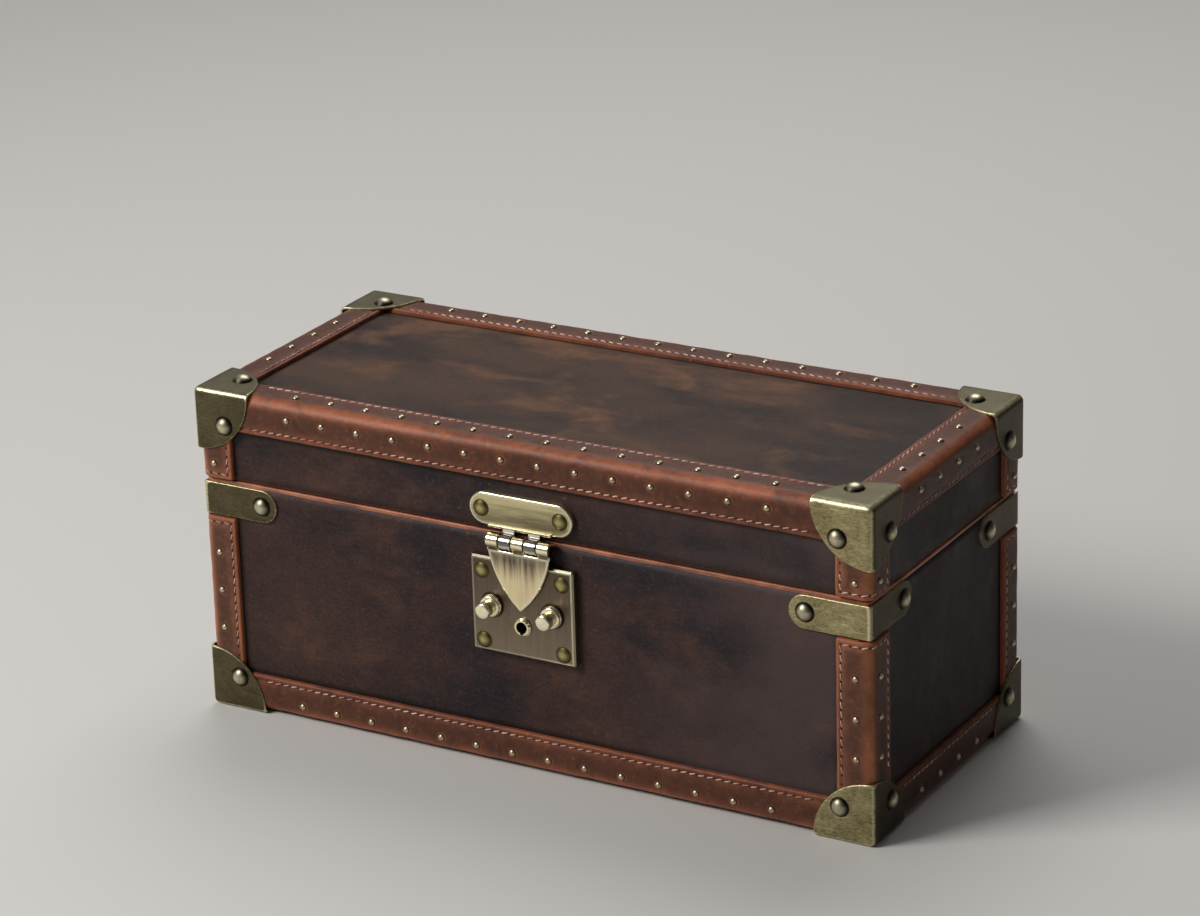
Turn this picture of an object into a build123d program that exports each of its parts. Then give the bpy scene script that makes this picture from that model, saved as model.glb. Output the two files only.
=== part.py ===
from build123d import *
import os
from math import atan2, cos, degrees, floor, pi, sqrt

os.makedirs("parts", exist_ok=True)

# Trunk-style leather watch box in millimetres: +Z is up, the front faces -Y and +X is to the right.
# A wooden case is covered with leather panels, and its edges carry folded leather strips with rows of
# tacks. Brass corners, brass angle brackets and a hasp lock finish it. Lined wells hold five cushions.
# The box stands on its four lower brass corners at Z = 0.

# Case over the leather edge strips
CASE_WIDTH = 314.0
CASE_DEPTH = 138.0
CASE_HEIGHT = 142.6
LID_HEIGHT = 39.0
SEAM_GAP = 0.6

# Leather, wood and lining
STRIP_THICK = 2.0
STRIP_WIDTH = 16.5
POST_STRIP_WIDTH = 16.0
STRIP_ROUND = 5.0
STRIP_EDGE_ROUND = 0.8
STRIP_JOINT_GAP = 0.2
PANEL_THICK = 1.2
BOARD_THICK = 6.0
RIM_THICK = 1.6
RIM_ROUND = 0.7
LINING_THICK = 1.0
LID_PAD_THICK = 5.0
LID_PAD_ROUND = 2.5

# Brass corners and angle brackets
BRASS_THICK = 1.0
CORNER_LEG = 27.2
CORNER_CENTRE_INSET = 1.0
CORNER_EDGE_ROUND = 2.5
CORNER_INNER_BEVEL = 0.9
BRACKET_THICK = 1.2
BRACKET_HEIGHT = 14.4
BRACKET_LEG = 36.0
BRACKET_DROP = 1.7
BRACKET_STRIP_GAP = 0.8

# Dome rivets and tacks
RIVET_RADIUS = 4.25
RIVET_HEIGHT = 2.4
RIVET_SIDES = 10
DOME_RING_LEVELS = (0.55, 0.93)
RIVET_INSET = 14.3
TACK_RADIUS = 1.4
TACK_HEIGHT = 1.0
TACK_SIDES = 5
TACK_TAPER = 32.0
TACK_PITCH = 17.2
TACK_END_SPACE = 15.0
TACK_FACE_INSET = 7.4
TACK_TOP_INSET = 8.0
TACK_FLOOR_RISE = 6.0
TACK_POST_INSET = 7.3
LID_POST_TACK_RISE = 6.7
BASE_POST_TACK_DROP = 16.0
BASE_POST_TACK_RISE = 9.5
BASE_POST_TACKS = 3

# Lock plate on the base
LOCK_WIDTH = 48.2
LOCK_HEIGHT = 41.6
LOCK_DEPTH = 3.5
LOCK_WALL = 1.2
LOCK_BEVEL = 0.7
LOCK_CORNER_ROUND = 1.0
LOCK_DROP = 10.5
LOCK_RIVET_RADIUS = 3.9
LOCK_RIVET_HEIGHT = 1.0
LOCK_RIVET_SIDE_INSET = 5.4
LOCK_RIVET_TOP_INSET = 6.1
LOCK_RIVET_FOOT_INSET = 4.8
NOTCH_WIDTH = 10.0
NOTCH_ROOM = 1.2

# Lock case, keyhole ring and plug
LOCK_CASE_WIDTH = 28.0
LOCK_CASE_HEIGHT = 24.0
LOCK_CASE_DEPTH = 5.0
LOCK_CASE_RISE = 8.0
POCKET_GAP = 0.2
KEYHOLE_RISE = 13.7
RING_RADIUS = 4.0
RING_STAND = 1.4
RING_BEVEL = 0.7
RING_BARREL_RADIUS = 3.2
RING_FIT = 0.1
KEYHOLE_RADIUS = 2.5
KEY_SLOT_WIDTH = 1.6
KEY_SLOT_REACH = 3.4
PLUG_RADIUS = 2.9
PLUG_FIT = 0.3
PLUG_LENGTH = 5.0
KEY_PIN_RADIUS = 0.8
KEY_BORE_RADIUS = 1.9
KEY_BORE_DEPTH = 3.6

# Sliding studs and their bolts
STUD_SPACING = 28.4
STUD_RISE = 21.0
STUD_TRAVEL = 2.6
STUD_REACH = 8.8
STUD_FACE_GAP = 0.2
STUD_COLLAR_RADIUS = 4.8
STUD_COLLAR_LENGTH = 2.7
STUD_TIP_RADIUS = 3.3
STUD_NECK_RADIUS = 2.6
STUD_NECK_LENGTH = 0.8
STUD_EDGE_BEVEL = 0.6
SHANK_RADIUS = 1.2
SHANK_FIT = 0.15
BOLT_THICK = 1.4
BOLT_WALL_GAP = 0.2
BOLT_TAIL = 3.0
BOLT_BAR = 4.8
BOLT_ARM = 3.0
BOLT_NOSE_HEIGHT = 4.0
BOLT_NOSE_GAP = 0.4

# Hasp on the lid
HASP_WIDTH = 48.2
HASP_HEIGHT = 14.0
HASP_THICK = 2.6
HASP_RISE = 2.6
HASP_EDGE_BEVEL = 0.7
HASP_RIVET_SPACING = 36.8
LIP_WIDTH = 29.4
LIP_THICK = 1.0
LIP_REACH = 1.4
BARREL_RADIUS = 3.2
BARREL_BACK_GAP = 0.4
BARREL_DROP = 2.9
KNUCKLE_LENGTH = 5.5
KNUCKLE_GAP = 0.45
KNUCKLE_ROOM = 0.3
HASP_PIN_RADIUS = 1.3
PIN_FIT = 0.1
TAB_THICK = 1.6
FLAP_THICK = 1.5
FLAP_FACE_GAP = 0.3
FLAP_WIDTH = 28.8
FLAP_LENGTH = 28.9
FLAP_SHOULDER = 3.6
FLAP_BULGE = 2.6
FLAP_EDGE_BEVEL = 0.4
CATCH_WIDTH = 6.0
CATCH_HEIGHT = 5.0
CATCH_DEPTH = 3.1
CATCH_DROP = 17.7
CATCH_BEVEL = 0.6

# Back hinges with a stop
HINGE_END_INSET = 62.0
HINGE_WIDTH = 36.0
HINGE_LEAF = 18.0
HINGE_THICK = 1.2
HINGE_RADIUS = 2.5
HINGE_BACK_GAP = 0.1
HINGE_MIDDLE = 13.0
HINGE_PIN_RADIUS = 1.1
STOP_REACH = 5.0
STOP_THICK = 1.6
STOP_TOP = 0.2

# Wells and cushions
WELLS = 5
DIVIDER_THICK = 4.0
DIVIDER_HEIGHT = 70.0
DIVIDER_ROUND = 1.4
CUSHION_SIDE_GAP = 2.76
CUSHION_LENGTH = 92.0
CUSHION_HEIGHT = 58.0
CUSHION_CROWN = 3.0
CUSHION_ROUND = 17.0
CUSHION_DRAW = 7.0
CUSHION_FLOOR_GAP = 0.3

# Faces from the outside in: strips, panels, boards and lining
strip_x = CASE_WIDTH / 2
strip_y = CASE_DEPTH / 2
panel_x = strip_x - STRIP_THICK
panel_y = strip_y - STRIP_THICK
board_x = panel_x - PANEL_THICK
board_y = panel_y - PANEL_THICK
inner_x = board_x - BOARD_THICK
inner_y = board_y - BOARD_THICK
lined_x = inner_x - LINING_THICK
lined_y = inner_y - LINING_THICK

# Levels from the floor up
case_low = BRASS_THICK
panel_low = case_low + STRIP_THICK
floor_low = panel_low + PANEL_THICK
floor_top = floor_low + BOARD_THICK
well_floor = floor_top + LINING_THICK
case_top = case_low + CASE_HEIGHT
lid_low = case_top - LID_HEIGHT
base_top = lid_low - SEAM_GAP
wall_top = base_top - RIM_THICK
panel_top = case_top - STRIP_THICK
lid_board_top = panel_top - PANEL_THICK
lid_board_low = lid_board_top - BOARD_THICK

# Lock and hasp places, measured from the front panel
lock_face = panel_y + LOCK_DEPTH
lock_top = base_top - LOCK_DROP
lock_foot = lock_top - LOCK_HEIGHT
stud_x = STUD_SPACING / 2
stud_z = lock_foot + STUD_RISE
stud_tip = lock_face + STUD_REACH
keyhole_z = lock_foot + KEYHOLE_RISE
hasp_low = lid_low + HASP_RISE
hasp_z = hasp_low + HASP_HEIGHT / 2
barrel_y = panel_y + BARREL_BACK_GAP + BARREL_RADIUS
barrel_z = lid_low - BARREL_DROP
flap_back = lock_face + FLAP_FACE_GAP
catch_top = barrel_z - CATCH_DROP + CATCH_HEIGHT / 2
catch_low = catch_top - CATCH_HEIGHT
notch_low = catch_low - NOTCH_ROOM

# Back hinge axis
hinge_y = panel_y + HINGE_BACK_GAP + HINGE_RADIUS
hinge_z = base_top + SEAM_GAP / 2

# The origin lies under the middle of everything, from the stud tips to the hinge stops
case_shift = (stud_tip - (hinge_y + STOP_REACH)) / 2


def block(x_span, y_span, z_span):
    """Box between the two values given for each axis."""
    size = [high - low for low, high in (x_span, y_span, z_span)]
    middle = [(high + low) / 2 for low, high in (x_span, y_span, z_span)]
    return Pos(*middle) * Box(*size)


def rod(radius, x_span):
    """Cylinder along X between two values."""
    low, high = x_span
    return Pos((low + high) / 2, 0, 0) * Rot(0, 90, 0) * Cylinder(radius, high - low)


def front_and_back(shapes):
    """The shapes and their mirror images on the back of the box."""
    return list(shapes) + [mirror(shape, about=Plane.XZ) for shape in shapes]


def right_and_left(shapes):
    """The shapes and their mirror images on the left of the box."""
    return list(shapes) + [mirror(shape, about=Plane.YZ) for shape in shapes]


def at_corners(shapes):
    """The shapes of the right front corner, repeated at all four corners."""
    return front_and_back(right_and_left(shapes))


def centred_row(count, pitch):
    """Places of a row about zero, one pitch apart."""
    return [(i - (count - 1) / 2) * pitch for i in range(count)]


def save(name, shapes):
    """Write one named piece, or a group of like pieces, in the finished position."""
    placed = [Pos(0, case_shift, 0) * shape for shape in shapes]
    solids = [solid for shape in placed for solid in shape.solids()]
    whole = solids[0] if len(solids) == 1 else Compound(children=solids)
    export_step(whole, f"parts/{name}.step")


# Wooden boards

def wall_boards(z_low, z_high):
    """Front, back, right and left boards of a case, the long ones lapping the short ones."""
    z_span = (z_low, z_high)
    front = block((-board_x, board_x), (-board_y, -inner_y), z_span)
    right = block((inner_x, board_x), (-inner_y, inner_y), z_span)
    return front_and_back([front]) + right_and_left([right])


def lock_pocket(y_front):
    """Room for the lock case, from a plane in front of the board to the back of the case."""
    half = LOCK_CASE_WIDTH / 2 + POCKET_GAP
    foot = lock_foot + LOCK_CASE_RISE - POCKET_GAP
    head = lock_foot + LOCK_CASE_RISE + LOCK_CASE_HEIGHT + POCKET_GAP
    back = -(panel_y - LOCK_CASE_DEPTH - POCKET_GAP)
    return block((-half, half), (y_front, back), (foot, head))


def base_boards():
    """Floor board with four walls standing on it, and the pocket for the lock case."""
    front, back, right, left = wall_boards(floor_top, wall_top)
    save("base_floor_board", [block((-board_x, board_x), (-board_y, board_y), (floor_low, floor_top))])
    save("base_front_board", [front - lock_pocket(-strip_y)])
    save("base_back_board", [back])
    save("base_right_board", [right])
    save("base_left_board", [left])


def lid_boards():
    """Top board lying on four low walls."""
    front, back, right, left = wall_boards(lid_low, lid_board_low)
    top = block((-board_x, board_x), (-board_y, board_y), (lid_board_low, lid_board_top))
    save("lid_top_board", [top])
    save("lid_front_board", [front])
    save("lid_back_board", [back])
    save("lid_right_board", [right])
    save("lid_left_board", [left])


# Leather panels

def front_panel(z_low, z_high):
    """Leather panel over a front board, covering the ends of the side panels."""
    return block((-panel_x, panel_x), (-panel_y, -board_y), (z_low, z_high))


def side_panel(z_low, z_high):
    """Leather panel over a right board, between the front and back panels."""
    return block((board_x, panel_x), (-board_y, board_y), (z_low, z_high))


def base_panels():
    """Leather over the base, with a window in front for the lock case."""
    front = front_panel(panel_low, wall_top)
    save("base_front_panel", [front - lock_pocket(-strip_y)])
    save("base_back_panel", [mirror(front, about=Plane.XZ)])
    save("base_side_panels", right_and_left([side_panel(panel_low, wall_top)]))
    save("base_underside_panel", [block((-board_x, board_x), (-board_y, board_y), (panel_low, floor_low))])


def lid_panels():
    """Leather over the lid."""
    long_pair = front_and_back([front_panel(lid_low, panel_top)])
    side_pair = right_and_left([side_panel(lid_low, panel_top)])
    save("lid_wall_panels", long_pair + side_pair)
    save("lid_top_panel", [block((-board_x, board_x), (-board_y, board_y), (lid_board_top, panel_top))])


def rim_binding():
    """Leather band folded over the top of the base walls, rounded where the seam shows."""
    z_span = (wall_top, base_top)
    band = block((-panel_x, panel_x), (-panel_y, panel_y), z_span)
    edges = band.edges().group_by(Axis.Z)[-1]
    band = fillet(edges, RIM_ROUND)
    hole = block((-lined_x, lined_x), (-lined_y, lined_y), z_span)
    save("base_rim_binding", [band - hole])


# Folded edge strips

def vertex_near(face, x, y):
    """The vertex of a sketch that lies nearest to a point."""
    return face.vertices().sort_by_distance((x, y, 0))[0]


def strip_section(width):
    """L-section with its outer corner on the origin: a rounded fold and softened free edges."""
    corners = [(0, 0), (width, 0), (width, STRIP_THICK)]
    corners += [(STRIP_THICK, STRIP_THICK), (STRIP_THICK, width), (0, width)]
    face = make_face(Polyline(*corners, close=True))
    face = fillet(vertex_near(face, 0, 0), STRIP_ROUND)
    free_edges = [vertex_near(face, width, 0), vertex_near(face, 0, width)]
    return fillet(free_edges, STRIP_EDGE_ROUND)


def folded_strip(corner, first_leg, run, length, width):
    """Strip folded round a case edge, its section run along the edge from the given corner."""
    plane = Plane(origin=corner, x_dir=first_leg, z_dir=run)
    return extrude(plane * strip_section(width), amount=length)


def long_strip(z_edge, first_leg, run):
    """Strip along a front edge, as long as the flat between the rounded ends of the case."""
    half = strip_x - STRIP_ROUND
    return folded_strip((-half * run[0], -strip_y, z_edge), first_leg, run, 2 * half, STRIP_WIDTH)


def side_strip(z_edge, first_leg, run):
    """Strip along a right-hand edge, fitted between the two long strips."""
    half = strip_y - STRIP_WIDTH - STRIP_JOINT_GAP
    return folded_strip((strip_x, -half * run[1], z_edge), first_leg, run, 2 * half, STRIP_WIDTH)


def post_strip(z_low, z_high):
    """Upright strip round the right front corner."""
    corner = (strip_x, -strip_y, z_low)
    return folded_strip(corner, (0, 1, 0), (0, 0, 1), z_high - z_low, POST_STRIP_WIDTH)


def base_strips():
    """Strips round the foot of the case and up its corners."""
    foot_joint = case_low + STRIP_WIDTH + STRIP_JOINT_GAP
    long_pair = front_and_back([long_strip(case_low, (0, 0, 1), (-1, 0, 0))])
    side_pair = right_and_left([side_strip(case_low, (0, 0, 1), (0, -1, 0))])
    save("base_foot_strips", long_pair + side_pair)
    save("base_post_strips", at_corners([post_strip(foot_joint, post_strip_top)]))


def lid_strips():
    """Strips round the top of the lid and down its corners."""
    top_joint = case_top - STRIP_WIDTH - STRIP_JOINT_GAP
    long_pair = front_and_back([long_strip(case_top, (0, 0, -1), (1, 0, 0))])
    side_pair = right_and_left([side_strip(case_top, (0, 0, -1), (0, 1, 0))])
    save("lid_top_strips", long_pair + side_pair)
    save("lid_post_strips", at_corners([post_strip(lid_low, top_joint)]))


# Brass corners and brackets

def brass_corner():
    """Stamped corner for the top right front: a rounded shell with quarter-round faces."""
    cube = block((-CORNER_LEG, 0), (0, CORNER_LEG), (-CORNER_LEG, 0))
    outer = [edge for edge in cube.edges() if edge.distance_to((0, 0, 0)) < BRASS_THICK]
    hollow = chamfer(outer, CORNER_INNER_BEVEL)
    shell = fillet(outer, CORNER_EDGE_ROUND) - Pos(-BRASS_THICK, BRASS_THICK, -BRASS_THICK) * hollow
    disc = Cylinder(CORNER_LEG - CORNER_CENTRE_INSET, 2 * CORNER_LEG)
    centre = Pos(-CORNER_CENTRE_INSET, CORNER_CENTRE_INSET, -CORNER_CENTRE_INSET)
    for turn in (Rot(0, 0, 0), Rot(90, 0, 0), Rot(0, 90, 0)):
        shell &= centre * turn * disc
    return shell


def base_corners():
    """Four corners with the base, turned over so that the box stands on them."""
    upright = Pos(strip_x + BRASS_THICK, -strip_y - BRASS_THICK, 0) * mirror(brass_corner(), about=Plane.XY)
    names = ("right_front", "left_front", "right_back", "left_back")
    for name, corner in zip(names, at_corners([upright])):
        save(f"base_corner_{name}", [corner])


def lid_corners():
    """Four corners on the lid."""
    outer = Pos(strip_x + BRASS_THICK, -strip_y - BRASS_THICK, case_top + BRASS_THICK)
    save("lid_corners", at_corners([outer * brass_corner()]))


bracket_low = base_top - BRACKET_DROP - BRACKET_HEIGHT
bracket_z = bracket_low + BRACKET_HEIGHT / 2
bracket_rivet = BRACKET_LEG - BRACKET_HEIGHT / 2
post_strip_top = bracket_low - BRACKET_STRIP_GAP


def bracket_leg():
    """One leg of a bracket on the front, from its bend to its round end."""
    straight = BRACKET_LEG - BRACKET_HEIGHT / 2
    bar = Pos(-straight / 2, 0) * Rectangle(straight, BRACKET_HEIGHT)
    outline = bar + Pos(-straight, 0) * Circle(BRACKET_HEIGHT / 2)
    return extrude(Plane.XZ * outline, amount=-BRACKET_THICK)


def brackets():
    """Angle brackets under the seam, bent square round the case corners."""
    front = bracket_leg()
    side = mirror(Rot(0, 0, -90) * front, about=Plane.YZ)
    corner = Pos(panel_x + BRACKET_THICK, -panel_y - BRACKET_THICK, bracket_z)
    save("base_brackets", at_corners([corner * (front + side)]))


# Rivets and tacks

def dome(radius, height):
    """Rivet head along +Z: tapering rings whose edges lie on a round cap, under a flat crown."""
    sphere_radius = (radius**2 + height**2) / (2 * height)
    head = []
    low = 0.0
    reach = radius
    for share in DOME_RING_LEVELS:
        level = share * height
        next_reach = sqrt(sphere_radius**2 - (level - height + sphere_radius)**2)
        step_in = (reach - next_reach) * cos(pi / RIVET_SIDES)
        ring = RegularPolygon(reach, RIVET_SIDES)
        taper = degrees(atan2(step_in, level - low))
        head.append(Pos(0, 0, low) * extrude(ring, amount=level - low, taper=taper))
        low = level
        reach = next_reach
    return head[0].fuse(*head[1:])


def on_front(head, x, z, y_face):
    """A head on a face that looks to the front."""
    return Pos(x, -y_face, z) * Rot(90, 0, 0) * head


def on_right(head, y, z, x_face):
    """A head on a face that looks to the right."""
    return Pos(x_face, y, z) * Rot(0, 90, 0) * head


def dome_rivets():
    """Rivets of the brass corners and brackets."""
    head = dome(RIVET_RADIUS, RIVET_HEIGHT)
    brass_x = strip_x + BRASS_THICK
    brass_y = strip_y + BRASS_THICK
    x = strip_x - RIVET_INSET
    y = -(strip_y - RIVET_INSET)
    foot = case_low + RIVET_INSET
    crown = case_top - RIVET_INSET
    low_pair = [on_front(head, x, foot, brass_y), on_right(head, y, foot, brass_x)]
    bend_x = panel_x + BRACKET_THICK
    bend_y = panel_y + BRACKET_THICK
    bracket_pair = [on_front(head, bend_x - bracket_rivet, bracket_z, bend_y)]
    bracket_pair += [on_right(head, -(bend_y - bracket_rivet), bracket_z, bend_x)]
    high_set = [on_front(head, x, crown, brass_y), on_right(head, y, crown, brass_x)]
    high_set += [Pos(x, y, case_top + BRASS_THICK) * head]
    save("base_dome_rivets", at_corners(low_pair + bracket_pair))
    save("lid_dome_rivets", at_corners(high_set))


def tack_rows():
    """Tack heads in rows along every strip, equally spaced about the middle of each side."""
    head = extrude(RegularPolygon(TACK_RADIUS, TACK_SIDES), amount=TACK_HEIGHT, taper=TACK_TAPER)
    spare = 2 * (CORNER_LEG + TACK_END_SPACE - BRASS_THICK)
    long_row = centred_row(floor((CASE_WIDTH - spare) / TACK_PITCH) + 1, TACK_PITCH)
    short_row = centred_row(floor((CASE_DEPTH - spare) / TACK_PITCH) + 1, TACK_PITCH)
    face_z = case_top - TACK_FACE_INSET
    foot_z = case_low + TACK_FLOOR_RISE
    post_x = strip_x - TACK_POST_INSET
    post_y = -(strip_y - TACK_POST_INSET)

    front = [on_front(head, x, face_z, strip_y) for x in long_row]
    front += [Pos(x, -(strip_y - TACK_TOP_INSET), case_top) * head for x in long_row]
    right = [on_right(head, y, face_z, strip_x) for y in short_row]
    right += [Pos(strip_x - TACK_TOP_INSET, y, case_top) * head for y in short_row]
    z = lid_low + LID_POST_TACK_RISE
    posts = [on_front(head, post_x, z, strip_y), on_right(head, post_y, z, strip_x)]
    save("lid_tacks", front_and_back(front) + right_and_left(right) + at_corners(posts))

    front = [on_front(head, x, foot_z, strip_y) for x in long_row]
    right = [on_right(head, y, foot_z, strip_x) for y in short_row]
    post_high = post_strip_top - BASE_POST_TACK_DROP
    post_run = post_high - CORNER_LEG - BASE_POST_TACK_RISE
    posts = []
    for i in range(BASE_POST_TACKS):
        z = post_high - post_run * i / (BASE_POST_TACKS - 1)
        posts += [on_front(head, post_x, z, strip_y), on_right(head, post_y, z, strip_x)]
    save("base_tacks", front_and_back(front) + right_and_left(right) + at_corners(posts))


# Lock on the base

def lock_plate():
    """Shallow pressed box with a bevelled rim, a notch for the catch, stud slots and a keyhole."""
    middle = (lock_top + lock_foot) / 2
    outline = RectangleRounded(LOCK_WIDTH, LOCK_HEIGHT, LOCK_CORNER_ROUND)
    body = Pos(0, -panel_y, middle) * extrude(Plane.XZ * outline, amount=LOCK_DEPTH)
    front_edges = body.edges().group_by(Axis.Y)[0]
    body = chamfer(front_edges, LOCK_BEVEL)
    room_x = LOCK_WIDTH / 2 - LOCK_WALL
    room_z = (lock_foot + LOCK_WALL, lock_top - LOCK_WALL)
    body -= block((-room_x, room_x), (-lock_face + LOCK_WALL, -panel_y), room_z)
    half = NOTCH_WIDTH / 2
    body -= block((-half, half), (-lock_face, -panel_y), (notch_low, lock_top))
    slot = SlotCenterToCenter(STUD_TRAVEL, 2 * (SHANK_RADIUS + SHANK_FIT))
    for side in (-1, 1):
        place = Pos(side * (stud_x + STUD_TRAVEL / 2), -panel_y, stud_z)
        body -= place * extrude(Plane.XZ * slot, amount=LOCK_DEPTH)
    bore = Cylinder(RING_BARREL_RADIUS + RING_FIT, LOCK_DEPTH, align=(Align.CENTER, Align.CENTER, Align.MIN))
    body -= on_front(bore, 0, keyhole_z, panel_y)
    save("lock_plate", [body])


def lock_rivets():
    """Low rivets in the corners of the lock plate."""
    head = dome(LOCK_RIVET_RADIUS, LOCK_RIVET_HEIGHT)
    x = LOCK_WIDTH / 2 - LOCK_RIVET_SIDE_INSET
    levels = (lock_foot + LOCK_RIVET_FOOT_INSET, lock_top - LOCK_RIVET_TOP_INSET)
    save("lock_rivets", right_and_left([on_front(head, x, z, lock_face) for z in levels]))


def lock_case():
    """Case of the lock, let into the front board behind the plate, bored for the plug."""
    half = LOCK_CASE_WIDTH / 2
    foot = lock_foot + LOCK_CASE_RISE
    body = block((-half, half), (-panel_y, -panel_y + LOCK_CASE_DEPTH), (foot, foot + LOCK_CASE_HEIGHT))
    bore = Rot(90, 0, 0) * Cylinder(PLUG_RADIUS + PLUG_FIT, 4 * LOCK_CASE_DEPTH)
    save("lock_case", [body - Pos(0, -panel_y, keyhole_z) * bore])


def keyhole_ring():
    """Turned ring standing on the plate, with the keyhole and its slot for the key's bit."""
    base = (Align.CENTER, Align.CENTER, Align.MIN)
    flange = Cylinder(RING_RADIUS, RING_STAND, align=base)
    flange = chamfer(flange.edges().group_by(Axis.Z)[-1], RING_BEVEL)
    ring = flange + Pos(0, 0, -LOCK_WALL) * Cylinder(RING_BARREL_RADIUS, LOCK_WALL, align=base)
    ring -= Cylinder(KEYHOLE_RADIUS, 4 * (RING_STAND + LOCK_WALL))
    slot_half = KEY_SLOT_WIDTH / 2
    deep = 2 * (RING_STAND + LOCK_WALL)
    slot = block((-slot_half, slot_half), (-min(KEY_SLOT_REACH, RING_BARREL_RADIUS), 0), (-deep, deep))
    slot &= Cylinder(RING_BARREL_RADIUS - RING_FIT, 2 * deep)
    save("keyhole_ring", [on_front(ring - slot, 0, keyhole_z, lock_face)])


def lock_plug():
    """Plug that the key turns: a bored cylinder with a centre pin and a slot for the bit."""
    base = (Align.CENTER, Align.CENTER, Align.MAX)
    plug = Cylinder(PLUG_RADIUS, PLUG_LENGTH, align=base)
    plug -= Cylinder(KEY_BORE_RADIUS, KEY_BORE_DEPTH, align=base)
    half = KEY_SLOT_WIDTH / 2
    plug -= block((-half, half), (-PLUG_RADIUS + PLUG_FIT, 0), (-KEY_BORE_DEPTH, 0))
    plug += Cylinder(KEY_PIN_RADIUS, PLUG_LENGTH, align=base)
    save("lock_plug", [on_front(plug, 0, keyhole_z, lock_face - LOCK_WALL - PLUG_FIT)])


bolt_face = lock_face - LOCK_WALL - BOLT_WALL_GAP


def sliding_studs():
    """Right and left studs, turned with a shank that passes the plate's slot to reach the bolt."""
    collar_front = STUD_FACE_GAP + STUD_COLLAR_LENGTH
    neck_front = collar_front + STUD_NECK_LENGTH
    shank_end = bolt_face - lock_face
    profile = [(0, shank_end), (SHANK_RADIUS, shank_end), (SHANK_RADIUS, STUD_FACE_GAP)]
    profile += [(STUD_COLLAR_RADIUS, STUD_FACE_GAP), (STUD_COLLAR_RADIUS, collar_front)]
    profile += [(STUD_NECK_RADIUS, collar_front), (STUD_NECK_RADIUS, neck_front)]
    profile += [(STUD_TIP_RADIUS, neck_front), (STUD_TIP_RADIUS, STUD_REACH), (0, STUD_REACH)]
    face = make_face(Polyline(*profile, close=True))
    bevelled = [(STUD_COLLAR_RADIUS, STUD_FACE_GAP), (STUD_COLLAR_RADIUS, collar_front)]
    bevelled += [(STUD_TIP_RADIUS, STUD_REACH)]
    for radius, level in bevelled:
        face = chamfer(vertex_near(face, radius, level), STUD_EDGE_BEVEL)
    stud = revolve(Plane.XZ * face, axis=Axis.Z)
    right = on_front(stud, stud_x, stud_z, lock_face)
    save("right_stud", [right])
    save("left_stud", [mirror(right, about=Plane.YZ)])


def bolts():
    """Flat bolts behind the plate: a bar at the stud, an arm that rises beside the notch, and a nose."""
    nose_x = NOTCH_WIDTH / 2 + BOLT_NOSE_GAP - stud_x
    arm_x = nose_x + BOLT_ARM
    nose_top = catch_top - stud_z
    nose_low = nose_top - BOLT_NOSE_HEIGHT
    half = BOLT_BAR / 2
    step = BOLT_ARM / 2
    outline = [(BOLT_TAIL, -half), (BOLT_TAIL, half), (arm_x, half), (arm_x, nose_top), (nose_x, nose_top)]
    outline += [(nose_x, nose_low), (nose_x + step, nose_low), (nose_x + step, -half)]
    bolt = extrude(make_face(Polyline(*outline, close=True)), amount=-BOLT_THICK)
    right = on_front(bolt, stud_x, stud_z, bolt_face)
    save("right_bolt", [right])
    save("left_bolt", [mirror(right, about=Plane.YZ)])


# Hasp on the lid

barrel_length = 5 * KNUCKLE_LENGTH + 4 * KNUCKLE_GAP
barrel_place = Pos(0, -barrel_y, barrel_z)


def knuckle_span(index, room=0.0):
    """X range of one of the five knuckles of the hasp, counted from the left."""
    low = -barrel_length / 2 + index * (KNUCKLE_LENGTH + KNUCKLE_GAP)
    return (low - room, low + KNUCKLE_LENGTH + room)


def hasp_plate():
    """Plate riveted to the lid, with a formed lip and two tabs rolled into knuckles."""
    outline = SlotOverall(HASP_WIDTH, HASP_HEIGHT)
    plate = Pos(0, -panel_y, hasp_z) * extrude(Plane.XZ * outline, amount=HASP_THICK)
    plate = chamfer(plate.edges().group_by(Axis.Y)[0], HASP_EDGE_BEVEL)
    half = LIP_WIDTH / 2
    front = -panel_y - HASP_THICK
    lip = block((-half, half), (front - LIP_REACH, front + LIP_THICK), (hasp_low, hasp_low + LIP_THICK))
    plate += lip
    tab_back = -panel_y - BARREL_BACK_GAP
    for index in (1, 3):
        span = knuckle_span(index)
        plate += barrel_place * rod(BARREL_RADIUS, span)
        plate += block(span, (tab_back - TAB_THICK, tab_back), (barrel_z, hasp_low + LIP_THICK))
    plate -= barrel_place * rod(HASP_PIN_RADIUS + PIN_FIT, (-barrel_length, barrel_length))
    save("hasp_plate", [plate])


def hasp_rivets():
    """Two low rivets at the ends of the hasp plate."""
    head = dome(LOCK_RIVET_RADIUS, LOCK_RIVET_HEIGHT)
    right = on_front(head, HASP_RIVET_SPACING / 2, hasp_z, panel_y + HASP_THICK)
    save("hasp_rivets", right_and_left([right]))


def hasp_pin():
    """Pin through the five knuckles."""
    half = barrel_length / 2
    save("hasp_pin", [barrel_place * rod(HASP_PIN_RADIUS, (-half, half))])


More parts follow.
